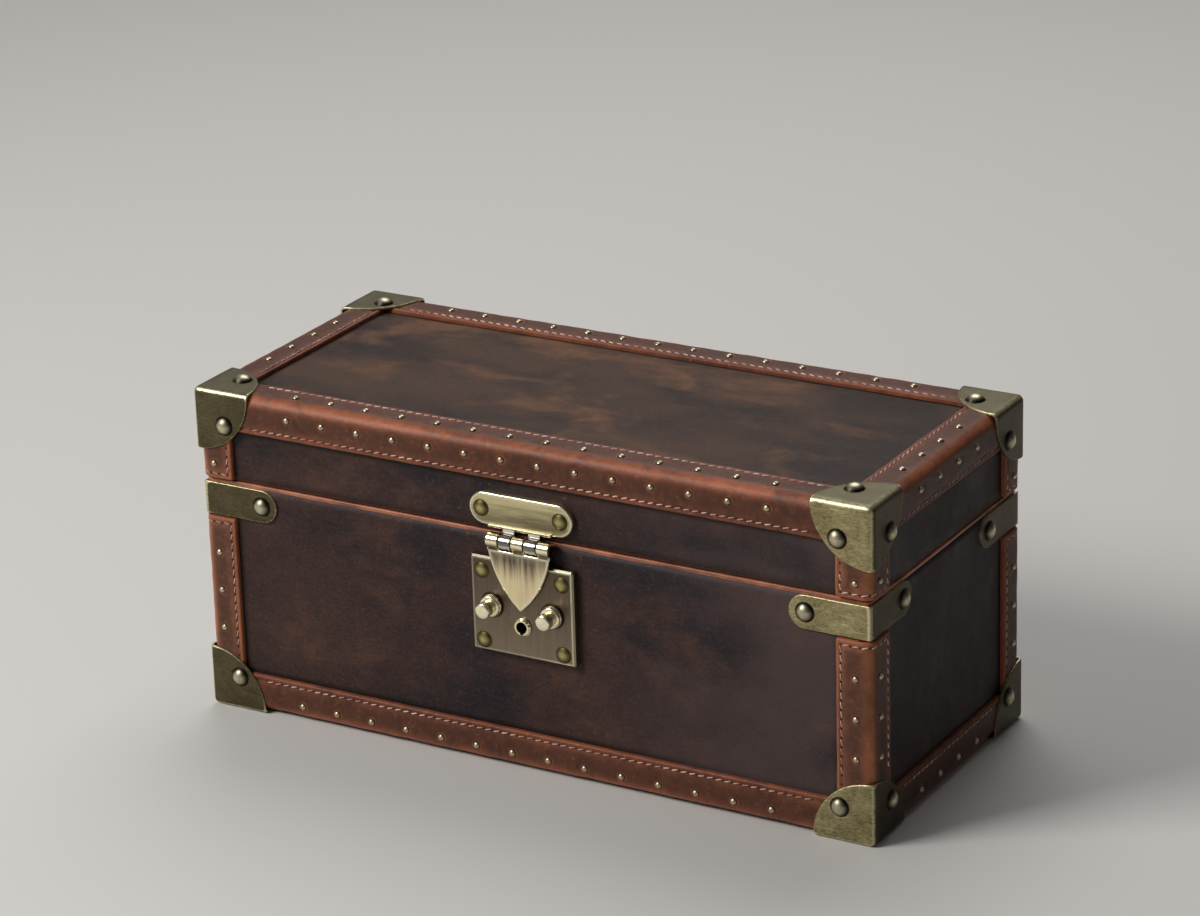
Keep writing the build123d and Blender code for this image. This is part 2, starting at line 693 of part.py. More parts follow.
def hasp_flap():
    """Shield-shaped flap with three knuckles and two slots where the plate's knuckles turn."""
    tip_z = barrel_z - FLAP_LENGTH
    shoulder_z = barrel_z - FLAP_SHOULDER
    half = FLAP_WIDTH / 2
    run = shoulder_z - tip_z
    chord = sqrt(half**2 + run**2)
    bulge = (half / 2 + FLAP_BULGE * run / chord, tip_z + run / 2 - FLAP_BULGE * half / chord)
    right = ThreePointArc((0, tip_z), bulge, (half, shoulder_z))
    left = ThreePointArc((0, tip_z), (-bulge[0], bulge[1]), (-half, shoulder_z))
    top = Polyline((half, shoulder_z), (half, barrel_z), (-half, barrel_z), (-half, shoulder_z))
    shield = extrude(Plane.XZ * make_face([right, left, top]), amount=FLAP_THICK)
    front_edges = shield.edges().group_by(Axis.Y)[0]
    shield = Pos(0, -flap_back, 0) * chamfer(front_edges, FLAP_EDGE_BEVEL)
    for index in (0, 2, 4):
        shield += barrel_place * rod(BARREL_RADIUS, knuckle_span(index))
    for index in (1, 3):
        span = knuckle_span(index, KNUCKLE_GAP)
        shield -= barrel_place * rod(BARREL_RADIUS + KNUCKLE_ROOM, span)
    shield -= barrel_place * rod(HASP_PIN_RADIUS + PIN_FIT, (-barrel_length, barrel_length))
    save("hasp_flap", [shield])


def hasp_catch():
    """Catch riveted to the back of the flap, which enters the notch of the lock plate."""
    half = CATCH_WIDTH / 2
    y_span = (-flap_back, -flap_back + CATCH_DEPTH)
    catch = block((-half, half), y_span, (catch_low, catch_top))
    free_edges = catch.edges().group_by(Axis.Y)[-1]
    save("hasp_catch", [chamfer(free_edges, CATCH_BEVEL)])


# Back hinges

def hinge_parts():
    """Butt hinges on the back: outer knuckles and a stop on the base leaf, one knuckle on the lid leaf."""
    half = HINGE_WIDTH / 2
    middle = HINGE_MIDDLE / 2
    inner = -(HINGE_RADIUS + HINGE_BACK_GAP)
    leaf_y = (inner, inner + HINGE_THICK)
    clear = HINGE_RADIUS + KNUCKLE_ROOM
    outer_spans = ((-half, -middle - KNUCKLE_GAP), (middle + KNUCKLE_GAP, half))
    bore = rod(HINGE_PIN_RADIUS + PIN_FIT, (-HINGE_WIDTH, HINGE_WIDTH))

    base_leaf = block((-half, half), leaf_y, (-HINGE_LEAF, 0))
    base_leaf -= rod(clear, (-middle - KNUCKLE_GAP, middle + KNUCKLE_GAP))
    for span in outer_spans:
        base_leaf += rod(HINGE_RADIUS, span)
        base_leaf += block(span, (0, STOP_REACH), (STOP_TOP - STOP_THICK, STOP_TOP))
    base_leaf -= bore

    lid_leaf = block((-half, half), leaf_y, (0, HINGE_LEAF))
    for low, high in outer_spans:
        lid_leaf -= rod(clear, (low - KNUCKLE_GAP, high + KNUCKLE_GAP))
    lid_leaf += rod(HINGE_RADIUS, (-middle, middle))
    lid_leaf -= bore

    place = Pos(strip_x - HINGE_END_INSET, hinge_y, hinge_z)
    save("hinge_base_leaves", right_and_left([place * base_leaf]))
    save("hinge_lid_leaves", right_and_left([place * lid_leaf]))
    save("hinge_pins", right_and_left([place * rod(HINGE_PIN_RADIUS, (-half, half))]))


# Lining, wells and cushions

def wall_linings(z_low, z_high):
    """Suede sheets on the inner faces of the four walls."""
    z_span = (z_low, z_high)
    front = block((-inner_x, inner_x), (-inner_y, -lined_y), z_span)
    right = block((lined_x, inner_x), (-lined_y, lined_y), z_span)
    return front_and_back([front]) + right_and_left([right])


def linings():
    """Lining of the base, and the lid's lining with its padded ceiling."""
    floor_sheet = block((-lined_x, lined_x), (-lined_y, lined_y), (floor_top, well_floor))
    save("base_lining", wall_linings(floor_top, wall_top) + [floor_sheet])
    save("lid_lining", wall_linings(lid_low, lid_board_low))
    pad = block((-lined_x, lined_x), (-lined_y, lined_y), (lid_board_low - LID_PAD_THICK, lid_board_low))
    save("lid_pad", [fillet(pad.edges().group_by(Axis.Z)[0], LID_PAD_ROUND)])


well_width = (2 * lined_x - (WELLS - 1) * DIVIDER_THICK) / WELLS
well_pitch = well_width + DIVIDER_THICK


def dividers():
    """Padded dividers between the wells, rounded along their tops."""
    z_span = (well_floor, well_floor + DIVIDER_HEIGHT)
    half = DIVIDER_THICK / 2
    plain = block((-half, half), (-lined_y, lined_y), z_span)
    top_edges = plain.edges().group_by(Axis.Z)[-1].filter_by(Axis.Y)
    divider = fillet(top_edges, DIVIDER_ROUND)
    for number, x in enumerate(centred_row(WELLS - 1, well_pitch), start=1):
        save(f"divider_{number}", [Pos(x, 0, 0) * divider])


def cushion_section(x, shrink):
    """Side view of a cushion at one station: four crowned sides with rounded corners."""
    half_y = CUSHION_LENGTH / 2 - CUSHION_CROWN - shrink
    half_z = CUSHION_HEIGHT / 2 - CUSHION_CROWN - shrink
    top = ThreePointArc((-half_y, half_z), (0, half_z + CUSHION_CROWN), (half_y, half_z))
    end = ThreePointArc((half_y, half_z), (half_y + CUSHION_CROWN, 0), (half_y, -half_z))
    bottom = ThreePointArc((half_y, -half_z), (0, -half_z - CUSHION_CROWN), (-half_y, -half_z))
    start = ThreePointArc((-half_y, -half_z), (-half_y - CUSHION_CROWN, 0), (-half_y, half_z))
    face = make_face([top, end, bottom, start])
    face = fillet(face.vertices(), CUSHION_ROUND - shrink)
    return Plane(origin=(x, 0, 0), x_dir=(0, 1, 0), z_dir=(1, 0, 0)) * face


def cushions():
    """Watch pillows: an oval body that swells in the middle and draws in towards its two ends."""
    half = well_width / 2 - CUSHION_SIDE_GAP
    stations = [-1.0, -0.72, 0.0, 0.72, 1.0]
    sections = [cushion_section(half * s, CUSHION_DRAW * s**4) for s in stations]
    pillow = loft(sections)
    z = well_floor + CUSHION_FLOOR_GAP + CUSHION_HEIGHT / 2
    for number, x in enumerate(centred_row(WELLS, well_pitch), start=1):
        save(f"cushion_{number}", [Pos(x, 0, z) * pillow])


base_boards()
lid_boards()
base_panels()
lid_panels()
rim_binding()
base_strips()
lid_strips()
base_corners()
lid_corners()
brackets()
dome_rivets()
tack_rows()
lock_plate()
lock_rivets()
lock_case()
keyhole_ring()
lock_plug()
sliding_studs()
bolts()
hasp_plate()
hasp_rivets()
hasp_pin()
hasp_flap()
hasp_catch()
hinge_parts()
linings()
dividers()
cushions()
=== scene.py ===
# %% [markdown]
# # A leather watch box
# A small travelling case holds five watches on cushions. Its wooden walls, hinges and lock come as a
# imported model that never changes, so that every hinge and slide still works. This lesson dresses that
# model: it adds folded leather, thread, tacks, stamped brass and soft cushions, and gives each surface
# a finish of its own. All the sizes below are in millimetres, and Blender's own unit is the metre, so
# one value turns the one into the other. The box of the imported model is kept, and at the end it is set
# beside the box of the dressed object.

# %% Load the imported model
import math
import bmesh
import bpy
import numpy as np
from mathutils import Matrix, Vector


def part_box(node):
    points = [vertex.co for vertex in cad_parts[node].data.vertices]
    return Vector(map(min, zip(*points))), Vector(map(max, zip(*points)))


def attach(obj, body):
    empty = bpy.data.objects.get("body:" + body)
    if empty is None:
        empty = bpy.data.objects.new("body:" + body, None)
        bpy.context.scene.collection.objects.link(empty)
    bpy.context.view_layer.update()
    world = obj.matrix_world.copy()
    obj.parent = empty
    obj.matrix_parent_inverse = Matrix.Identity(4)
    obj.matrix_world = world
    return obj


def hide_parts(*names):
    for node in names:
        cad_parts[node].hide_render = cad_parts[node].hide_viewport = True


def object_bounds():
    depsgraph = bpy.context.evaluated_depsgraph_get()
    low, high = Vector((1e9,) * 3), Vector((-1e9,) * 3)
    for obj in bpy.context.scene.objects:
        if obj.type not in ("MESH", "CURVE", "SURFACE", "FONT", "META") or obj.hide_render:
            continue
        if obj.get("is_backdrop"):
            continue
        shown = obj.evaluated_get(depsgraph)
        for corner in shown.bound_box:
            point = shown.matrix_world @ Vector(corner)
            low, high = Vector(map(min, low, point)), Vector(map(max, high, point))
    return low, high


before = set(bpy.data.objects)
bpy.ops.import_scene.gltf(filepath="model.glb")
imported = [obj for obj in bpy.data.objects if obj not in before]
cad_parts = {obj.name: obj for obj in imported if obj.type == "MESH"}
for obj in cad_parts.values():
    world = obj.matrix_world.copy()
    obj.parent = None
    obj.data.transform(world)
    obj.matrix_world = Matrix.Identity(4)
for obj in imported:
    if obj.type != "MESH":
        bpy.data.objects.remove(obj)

MM = 0.001
packed_low, packed_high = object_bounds()
print("packed model", [round(v / MM, 1) for v in packed_high - packed_low], "mm")


def linked(name, data):
    """A new object with that data, put into the scene."""
    made = bpy.data.objects.new(name, data)
    bpy.context.scene.collection.objects.link(made)
    return made


def node_box(node):
    """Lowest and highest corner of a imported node, in millimetres."""
    low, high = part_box(node)
    return np.array(low) / MM, np.array(high) / MM


strips_low, strips_high = node_box("lid_top_strips")
MIDDLE = np.array([0.0, (strips_low[1] + strips_high[1]) / 2, 0.0])
print("middle of the case", np.round(MIDDLE, 2))

# %% [markdown]
# The camera stands where the one of the reference picture stood: a little to the right of the front, and
# looking down. A long lens flattens the case as the real one did. The angles are turned into three
# directions, right, up and back, which are the columns of the camera's matrix.

# %% Camera
AZIMUTH = math.radians(30.50)
ELEVATION = math.radians(21.00)
ROLL = math.radians(-1.777)
TARGET = MIDDLE + [-2.95, 0.0, 114.0]
DISTANCE = 1750.3
LENS = 126.54

back = np.array([math.sin(AZIMUTH) * math.cos(ELEVATION),
                 -math.cos(AZIMUTH) * math.cos(ELEVATION), math.sin(ELEVATION)])
level_right = np.cross(-back, [0, 0, 1])
level_right /= np.linalg.norm(level_right)
level_up = np.cross(level_right, -back)
right = math.cos(ROLL) * level_right + math.sin(ROLL) * level_up
up = -math.sin(ROLL) * level_right + math.cos(ROLL) * level_up
place = (TARGET + back * DISTANCE) * MM

camera = linked("camera", bpy.data.cameras.new("camera"))
turn_and_place = [[*way, value] for way, value in zip(np.stack([right, up, back], 1), place)]
camera.matrix_world = Matrix(turn_and_place + [[0, 0, 0, 1]])
camera.data.lens = LENS
camera.data.sensor_width = 36
camera.data.clip_start, camera.data.clip_end = 0.05, 50
bpy.context.scene.camera = camera
print("camera at", np.round(place, 3))

# %% [markdown]
# A finish is a small graph of nodes. Written as sums, such a graph reads like a formula, so one class
# wraps a socket and adds a Math node for each operator. A second class is the graph, which the world uses
# too: its one method for nodes sets their settings first and then fills their sockets with numbers or
# links. A third class is a material, with the patterns that its surfaces need.


# %% Sums of shader sockets
class Value:
    """A shader socket that can stand in a sum. Each operator adds one Math node."""

    def __init__(self, graph, socket):
        self.graph = graph
        self.socket = socket

    def sum(self, operation, *terms):
        return self.graph.node("ShaderNodeMath", {"operation": operation}, dict(enumerate(terms)))

    def __add__(self, other): return self.sum("ADD", self, other)
    def __radd__(self, other): return self.sum("ADD", other, self)
    def __sub__(self, other): return self.sum("SUBTRACT", self, other)
    def __rsub__(self, other): return self.sum("SUBTRACT", other, self)
    def __mul__(self, other): return self.sum("MULTIPLY", self, other)
    def __rmul__(self, other): return self.sum("MULTIPLY", other, self)
    def __truediv__(self, other): return self.sum("DIVIDE", self, other)
    def __rtruediv__(self, other): return self.sum("DIVIDE", other, self)
    def __pow__(self, other): return self.sum("POWER", self, other)
    def __abs__(self): return self.sum("ABSOLUTE", self)
    def most(self, other): return self.sum("MAXIMUM", self, other)
    def least(self, other): return self.sum("MINIMUM", self, other)
    def part(self, other): return self.sum("PINGPONG", self, other)

    def step(self, low, high):
        """0 below low, 1 above high, and a smooth rise between them. With low above high it falls."""
        settings = {"interpolation_type": "SMOOTHSTEP"}
        if low < high:
            return self.graph.node("ShaderNodeMapRange", settings, {0: self, 1: low, 2: high, 3: 0.0, 4: 1.0})
        return self.graph.node("ShaderNodeMapRange", settings, {0: self, 1: high, 2: low, 3: 1.0, 4: 0.0})


def colour(red, green, blue):
    """A colour given as on a screen, 0 to 255, turned into the linear numbers that shaders use."""
    share = np.array([red, green, blue]) / 255
    linear = np.where(share <= 0.04045, share / 12.92, ((share + 0.055) / 1.055) ** 2.4)
    return (*[float(v) for v in linear], 1.0)


print("screen grey 128 is", round(colour(128, 128, 128)[0], 3), "in linear light")

# %% A graph of nodes
class Graph:
    """A node tree. Its node method adds any node and returns one of its outputs as a Value."""

    def __init__(self, tree):
        self.tree = tree

    def fill(self, socket, value):
        """A link for a Value, and otherwise the number or colour itself."""
        if isinstance(value, Value):
            self.tree.links.new(value.socket, socket)
        else:
            socket.default_value = value

    def node(self, kind, settings=None, inputs=None, out=0):
        """Adds a node: its settings come before its sockets, because they decide which sockets it has."""
        made = self.tree.nodes.new(kind)
        for key, value in (settings or {}).items():
            setattr(made, key, value)
        for key, value in (inputs or {}).items():
            self.fill(made.inputs[key], value)
        return Value(self, made.outputs[out])


# %% A finish
class Finish(Graph):
    """One material: a Principled shader, and the nodes that feed it."""

    def __init__(self, name):
        self.material = bpy.data.materials.new(name)
        self.material.use_nodes = True
        super().__init__(self.material.node_tree)
        self.shader = self.tree.nodes["Principled BSDF"]
        self.point = self.node("ShaderNodeTexCoord", out=3)
        self.split = self.tree.nodes.new("ShaderNodeSeparateXYZ")
        self.fill(self.split.inputs[0], self.point)

    def axis(self, number):
        """One coordinate of the point, in millimetres from the middle of the case."""
        return Value(self, self.split.outputs[number]) / MM - float(MIDDLE[number])

    def stretched(self, x=1.0, y=1.0, z=1.0):
        """The point with each axis drawn out that many times, for grain and brushing."""
        return self.node("ShaderNodeMapping", None, {0: self.point, 3: (1 / x, 1 / y, 1 / z)})

    def mark(self, name):
        """A number that the mesh carries at each of its points."""
        return self.node("ShaderNodeAttribute", {"attribute_name": name}, None, 2)

    def noise(self, size, detail=2.0, rough=0.5, vector=None, warp=0.0):
        """Cloudy noise whose clouds are about size millimetres across."""
        inputs = {"Vector": vector or self.point, "Scale": 1 / (size * MM), "Detail": detail,
                  "Roughness": rough, "Distortion": warp}
        return self.node("ShaderNodeTexNoise", None, inputs)

    def grain(self, size):
        """The pores of leather: dark lines between scattered cells that are size millimetres across."""
        inputs = {"Vector": self.point, "Scale": 1 / (size * MM)}
        return self.node("ShaderNodeTexVoronoi", {"feature": "DISTANCE_TO_EDGE"}, inputs).step(0.0, 0.16)

    def blend(self, share, first, second):
        """A mix of two colours: the first at share 0, the second at share 1."""
        return self.node("ShaderNodeMix", {"data_type": "RGBA"}, {0: share, 6: first, 7: second}, 2)

    def coats(self, first, *coats):
        """Coats of colour over a first one. Each coat is how much it covers and its colour on a screen."""
        base = colour(*first)
        for share, tint in coats:
            base = self.blend(share, base, colour(*tint))
        return base

    def bump(self, height, depth, normal=None):
        """A relief: height from 0 to 1 stands for depth millimetres."""
        inputs = {"Height": height, "Distance": depth * MM, "Strength": 1.0}
        if normal is not None:
            inputs["Normal"] = normal
        return self.node("ShaderNodeBump", None, inputs)

    def surface(self, **sockets):
        """Fills the shader's own sockets. A word's underscores stand for the spaces in its name."""
        for key, value in sockets.items():
            self.fill(self.shader.inputs[key.replace("_", " ")], value)
        return self.material


# %% [markdown]
# A plain pale floor carries the box. One large soft lamp in front on the left gives the main light, so
# that the right side falls into shade, and two weak ones fill in. The world is a plain grey that is dimmer
# on the right. A colour then renders about as it is written. The floor is marked as stage, which says that
# it isn't part of the object.

# %% Floor and lamps
floor_finish = Finish("pale_floor")
floor_finish.surface(Base_Color=colour(205, 202, 197), Roughness=0.7)
FLOOR_HALF = 12.0
floor_mesh = bpy.data.meshes.new("floor")
floor_corners = [(x * FLOOR_HALF, y * FLOOR_HALF, 0) for x, y in ((-1, -1), (1, -1), (1, 1), (-1, 1))]
floor_mesh.from_pydata(floor_corners, [], [(0, 1, 2, 3)])
floor_mesh.materials.append(floor_finish.material)
linked("floor", floor_mesh)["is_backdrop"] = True


LAMP_TARGET = Vector((0, 0, 0.07))


def lamp(name, position, size, power):
    """A square soft lamp that faces the middle of the box."""
    light = bpy.data.lights.new(name, "AREA")
    light.size = size
    light.energy = power
    holder = linked(name, light)
    holder.location = position
    holder.rotation_euler = (LAMP_TARGET - Vector(position)).to_track_quat("-Z", "Y").to_euler()


lamp("key_lamp", (-0.95, -1.15, 1.25), 0.7, 27.0)
lamp("side_lamp", (1.8, -0.3, 0.8), 0.9, 0.3)
lamp("top_lamp", (-0.3, 0.9, 1.5), 1.2, 13.0)

world = bpy.data.worlds.new("studio")
world.use_nodes = True
sky = Graph(world.node_tree)
direction = sky.node("ShaderNodeTexCoord")
to_right = sky.node("ShaderNodeSeparateXYZ", None, {0: direction})
backdrop = world.node_tree.nodes["Background"]
backdrop.inputs["Color"].default_value = colour(222, 222, 222)
sky.fill(backdrop.inputs["Strength"], 0.06 + to_right.step(0.75, -0.6) * 0.26)
bpy.context.scene.world = world
bpy.context.scene.view_settings.view_transform = "Standard"
print("floor and", len(bpy.data.lights), "lamps")

# %% [markdown]
# New shapes are grids of points worked out with numpy: rows one way, columns the other. A part is such a
# grid with its faces and the numbers, or marks, that its finish reads, such as how far a point is from a
# cut edge. Several parts join into one piece. Points that fall together, as at a pole, are merged, and an
# open end gets a face over it, so that each piece is a closed shell.


# %% Grids, parts and pieces
SAME_POINT = 0.002


def grid(points, round_columns=False, round_rows=False, **marks):
    """A part: a quad between each four neighbouring points. A round way joins its last line to its first."""
    rows, columns = points.shape[:2]
    row = np.arange(rows if round_rows else rows - 1)[:, None]
    column = np.arange(columns if round_columns else columns - 1)[None, :]
    here, below = row * columns, (row + 1) % rows * columns
    beside = (column + 1) % columns
    corners = np.broadcast_arrays(here + column, here + beside, below + beside, below + column)
    faces = np.stack(corners, -1).reshape(-1, 4)
    marks = {key: np.broadcast_to(value, (rows, columns)).reshape(-1) for key, value in marks.items()}
    return {"points": points.reshape(-1, 3), "faces": faces, "marks": marks}


def joined(parts):
    """Several parts as one: points one after another, faces renumbered, and marks side by side."""
    counts = [len(part["points"]) for part in parts]
    firsts = np.cumsum([0] + counts)
    names = sorted({name for part in parts for name in part["marks"]})
    return {"points": np.concatenate([part["points"] for part in parts]),
            "faces": np.concatenate([part["faces"] + first for part, first in zip(parts, firsts)]),
            "marks": {name: np.concatenate([part["marks"].get(name, np.zeros(count))
                                            for part, count in zip(parts, counts)]) for name in names}}


def mesh_of(name, part):
    """A mesh with a part's points, faces and marks."""
    mesh = bpy.data.meshes.new(name)
    mesh.from_pydata((part["points"] * MM).tolist(), [], part["faces"].tolist())
    for key, values in part["marks"].items():
        mesh.attributes.new(key, "FLOAT", "POINT").data.foreach_set("value", values.astype(np.float32))
    return mesh


def dressed(mesh, finish, body, stands_for):
    """An object with that mesh and finish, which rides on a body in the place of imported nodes."""
    mesh.polygons.foreach_set("use_smooth", np.ones(len(mesh.polygons), bool))
    mesh.materials.append(finish)
    made = linked(mesh.name, mesh)
    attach(made, body)
    if stands_for:
        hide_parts(*stands_for)
    print(f"{mesh.name}: {len(mesh.polygons)} faces")
    return made


def piece(name, parts, finish, body, stands_for=(), sharp=35.0):
    """An object from parts. Points that fall together are merged, an open end gets one face over it, all
    faces point outwards, and folds of more than sharp degrees look sharp."""
    mesh = mesh_of(name, joined(parts))
    work = bmesh.new()
    work.from_mesh(mesh)
    bmesh.ops.remove_doubles(work, verts=work.verts, dist=SAME_POINT * MM)
    bmesh.ops.holes_fill(work, edges=[edge for edge in work.edges if edge.is_boundary])
    bmesh.ops.recalc_face_normals(work, faces=work.faces)
    work.to_mesh(mesh)
    work.free()
    made = dressed(mesh, finish, body, stands_for)
    mesh.set_sharp_from_angle(angle=math.radians(sharp))
    return made


# %% [markdown]
# Rivets, tacks, studs and screws are turned shapes, and there are many of each. One profile is turned
# round an axis once. Then it is set at all its places together, each place being a point and the
# direction that the head looks. Mirror images of a place are made by changing the signs of x and y.


# %% Turned heads and their places
def turned(profile, sides, **marks):
    """(radius, height) pairs turned round +Z: the point is (radius cos a, radius sin a, height)."""
    radius, height = np.array(profile, float).T
    angle = np.linspace(0, 2 * math.pi, sides, endpoint=False)
    points = np.stack([np.outer(radius, np.cos(angle)), np.outer(radius, np.sin(angle)),
                       np.repeat(height[:, None], sides, 1)], -1)
    return grid(points, round_columns=True, **{key: np.array(value)[:, None] for key, value in marks.items()})


def dome(radius, height, rings):
    """Profile of a round cap: on a sphere through the rim and the top, from the rim inwards."""
    sphere = (radius**2 + height**2) / (2 * height)
    angle = np.linspace(math.asin(min(1.0, radius / sphere)), 0, rings)
    return np.stack([sphere * np.sin(angle), sphere * np.cos(angle) + height - sphere], 1)


def set_at(part, points, normals, along=None):
    """Copies of a part, its +Z turned to each normal and its +X to the direction along, at each point."""
    points, normals = np.array(points, float), np.array(normals, float)
    if along is None:
        along = np.where(np.abs(normals[:, 2:]) > 0.5, [[1.0, 0, 0]], [[0, 0, 1.0]])
    side = np.cross(normals, along)
    turns = np.stack([along, side, normals], -1)
    moved = np.einsum("nij,mj->nmi", turns, part["points"]) + points[:, None] + MIDDLE
    count, size = len(points), len(part["points"])
    faces = part["faces"][None] + (np.arange(count) * size)[:, None, None]
    marks = {key: np.tile(value, count) for key, value in part["marks"].items()}
    return {"points": moved.reshape(-1, 3), "faces": faces.reshape(-1, 4), "marks": marks}


def mirrored(*rows, x=False, y=False):
    """Each row of points or directions, together with its mirror images on the left (x) and the back (y)."""
    signs = [(a, b, 1) for a in ((1, -1) if x else (1,)) for b in ((1, -1) if y else (1,))]
    return [np.concatenate([np.array(row, float) * sign for sign in signs]) for row in rows]


print("places from one, mirrored both ways:", len(mirrored([(1, 1, 0)], x=True, y=True)[0]))


# %% [markdown]
# The dark panels are pull-up leather: waxy, cloudy, and lighter where it has been bent or rubbed. Large
# soft noise mixes charcoal with brown, and a second, warmer noise lays ochre clouds over it. A fine net
# of cells gives the grain, and long thin stretched noise the scratches. Beside the strips the leather is
# painted darker, as painted shade where the strips stand over it. The right wall is darker too, as painted
# shade, and the right half of the front gets a painted sheen. The top of the lid is the same leather with
# more of the ochre. Round the hasp, where fingers and the flap rub, small orange scuffs show.


# %% Dark panel leather
STRIP_EDGES = {"x": 140.8, "y": 52.9, "foot": 17.6, "lid": 127.0}
RIGHT_WALL = (154.1, 154.9)


def panel_leather(name, ochre, dark, brown, warm, scuffs_and_sheen, shine):
    """Waxy leather with cloudy patches; ochre is how much of the warm colour comes through."""
    finish = Finish(name)
    x, y, z = (finish.axis(number) for number in range(3))
    wide = finish.stretched(1.7, 1.0, 1.0)
    clouds = finish.noise(44, 3.0, 0.55, wide, 0.25).step(0.36, 0.64)
    patches = finish.noise(30, 3.0, 0.6, wide, 0.35).step(0.48, 0.72)
    mottle = finish.noise(5.5, 4.0, 0.6).step(0.3, 0.75)
    scratch = finish.noise(2.2, 3.0, 0.5, finish.stretched(9, 1, 2.5)).step(0.66, 0.8)
    weave = finish.noise(0.9, 2.0, 0.5, finish.stretched(6, 1, 1)).step(0.4, 0.7)
    grit = finish.noise(1.4, 4.0, 0.75, warp=0.4)
    near_lock = (x**2 + ((z - 92) * 0.9)**2) ** 0.5
    scuffs = finish.noise(2.4, 4.0, 0.7, warp=0.6).step(0.60, 0.72)
    scuffs = scuffs * near_lock.step(46, 27) * y.step(0, -60) * scuffs_and_sheen
    lid_edge = (finish.mark("edge") + finish.noise(3, 3.0, 0.6)).step(1.5, 0.7)
    strip_x, strip_y, foot, lid = STRIP_EDGES.values()
    to_strip = abs(abs(x) - strip_x).least(abs(abs(y) - strip_y)).least(abs(z - foot)).least(abs(z - lid))
    right_wall_shade = x.step(*RIGHT_WALL)
    painted_sheen = x.step(10, 120) * (1 - right_wall_shade) * scuffs_and_sheen * (0.15 + clouds * 0.4)
    base = finish.coats(
        dark,
        (clouds * 0.75 + mottle * 0.25, brown),
        (patches * ochre * (0.5 + mottle * 0.5), warm),
        (scratch * 0.1 + weave * 0.03, (136, 108, 100)),
        (grit.step(0.5, 0.75) * 0.22, (124, 92, 78)),
        (grit.step(0.5, 0.3) * 0.3, (18, 13, 14)),
        (scuffs * 0.7, (150, 84, 52)),
        (lid_edge * 0.5, (128, 74, 50)),
        # painted shade: darker within about 3 mm of each strip's edge, where the strips stand over the
        # leather
        (to_strip.step(3.2, 0.2) * 0.75, (14, 9, 8)),
        # painted sheen: a lighter grey haze over the right half of the front wall
        (painted_sheen, (82, 70, 70)),
        # painted shade: the right wall is darker
        (right_wall_shade * 0.6, (22, 13, 10)))
    relief = finish.bump(finish.grain(0.75) * 0.45 + finish.noise(1.6, 4.0, 0.65) * 0.55, 0.05)
    relief = finish.bump(finish.noise(14, 2.0, 0.5), 0.35, relief)
    rough = 0.44 + clouds * 0.08 + mottle * 0.07 - patches * 0.04
    return finish.surface(Base_Color=base, Roughness=rough, Normal=relief, Specular_IOR_Level=shine)


wall_leather = panel_leather("panel_leather", 0.45, (24, 23, 29), (63, 43, 38), (102, 68, 50), 1.0, 0.18)
top_leather = panel_leather("top_panel_leather", 0.9, (38, 30, 29), (78, 58, 46), (116, 80, 54), 0.0, 0.12)
print("two dark leathers")

# %% [markdown]
# The folded strips are reddish brown. Waxy leather of this sort turns lighter where it is stretched, so
# the fold and the cut edges are cognac or orange, and the middle of each leg stays dark; the light colour at
# the fold is also a painted highlight. A dark ring round the foot of each tack and the darker strips on the
# right side are painted shade. The strip's mesh carries how far each point is from the nearest cut edge
# (edge), from the long one (leg) and from a stitched end (end), how far along the strip it lies (along), how
# close it is to the fold (fold) and how close to a tack (tack). The finish reads these marks, and draws the
# awl's holes under the thread.

# %% Strip leather
STITCH_PITCH = 4.0
STITCH_INSET = 2.3
END_PITCH = 4.208
HOLE = (0.7, 0.3)


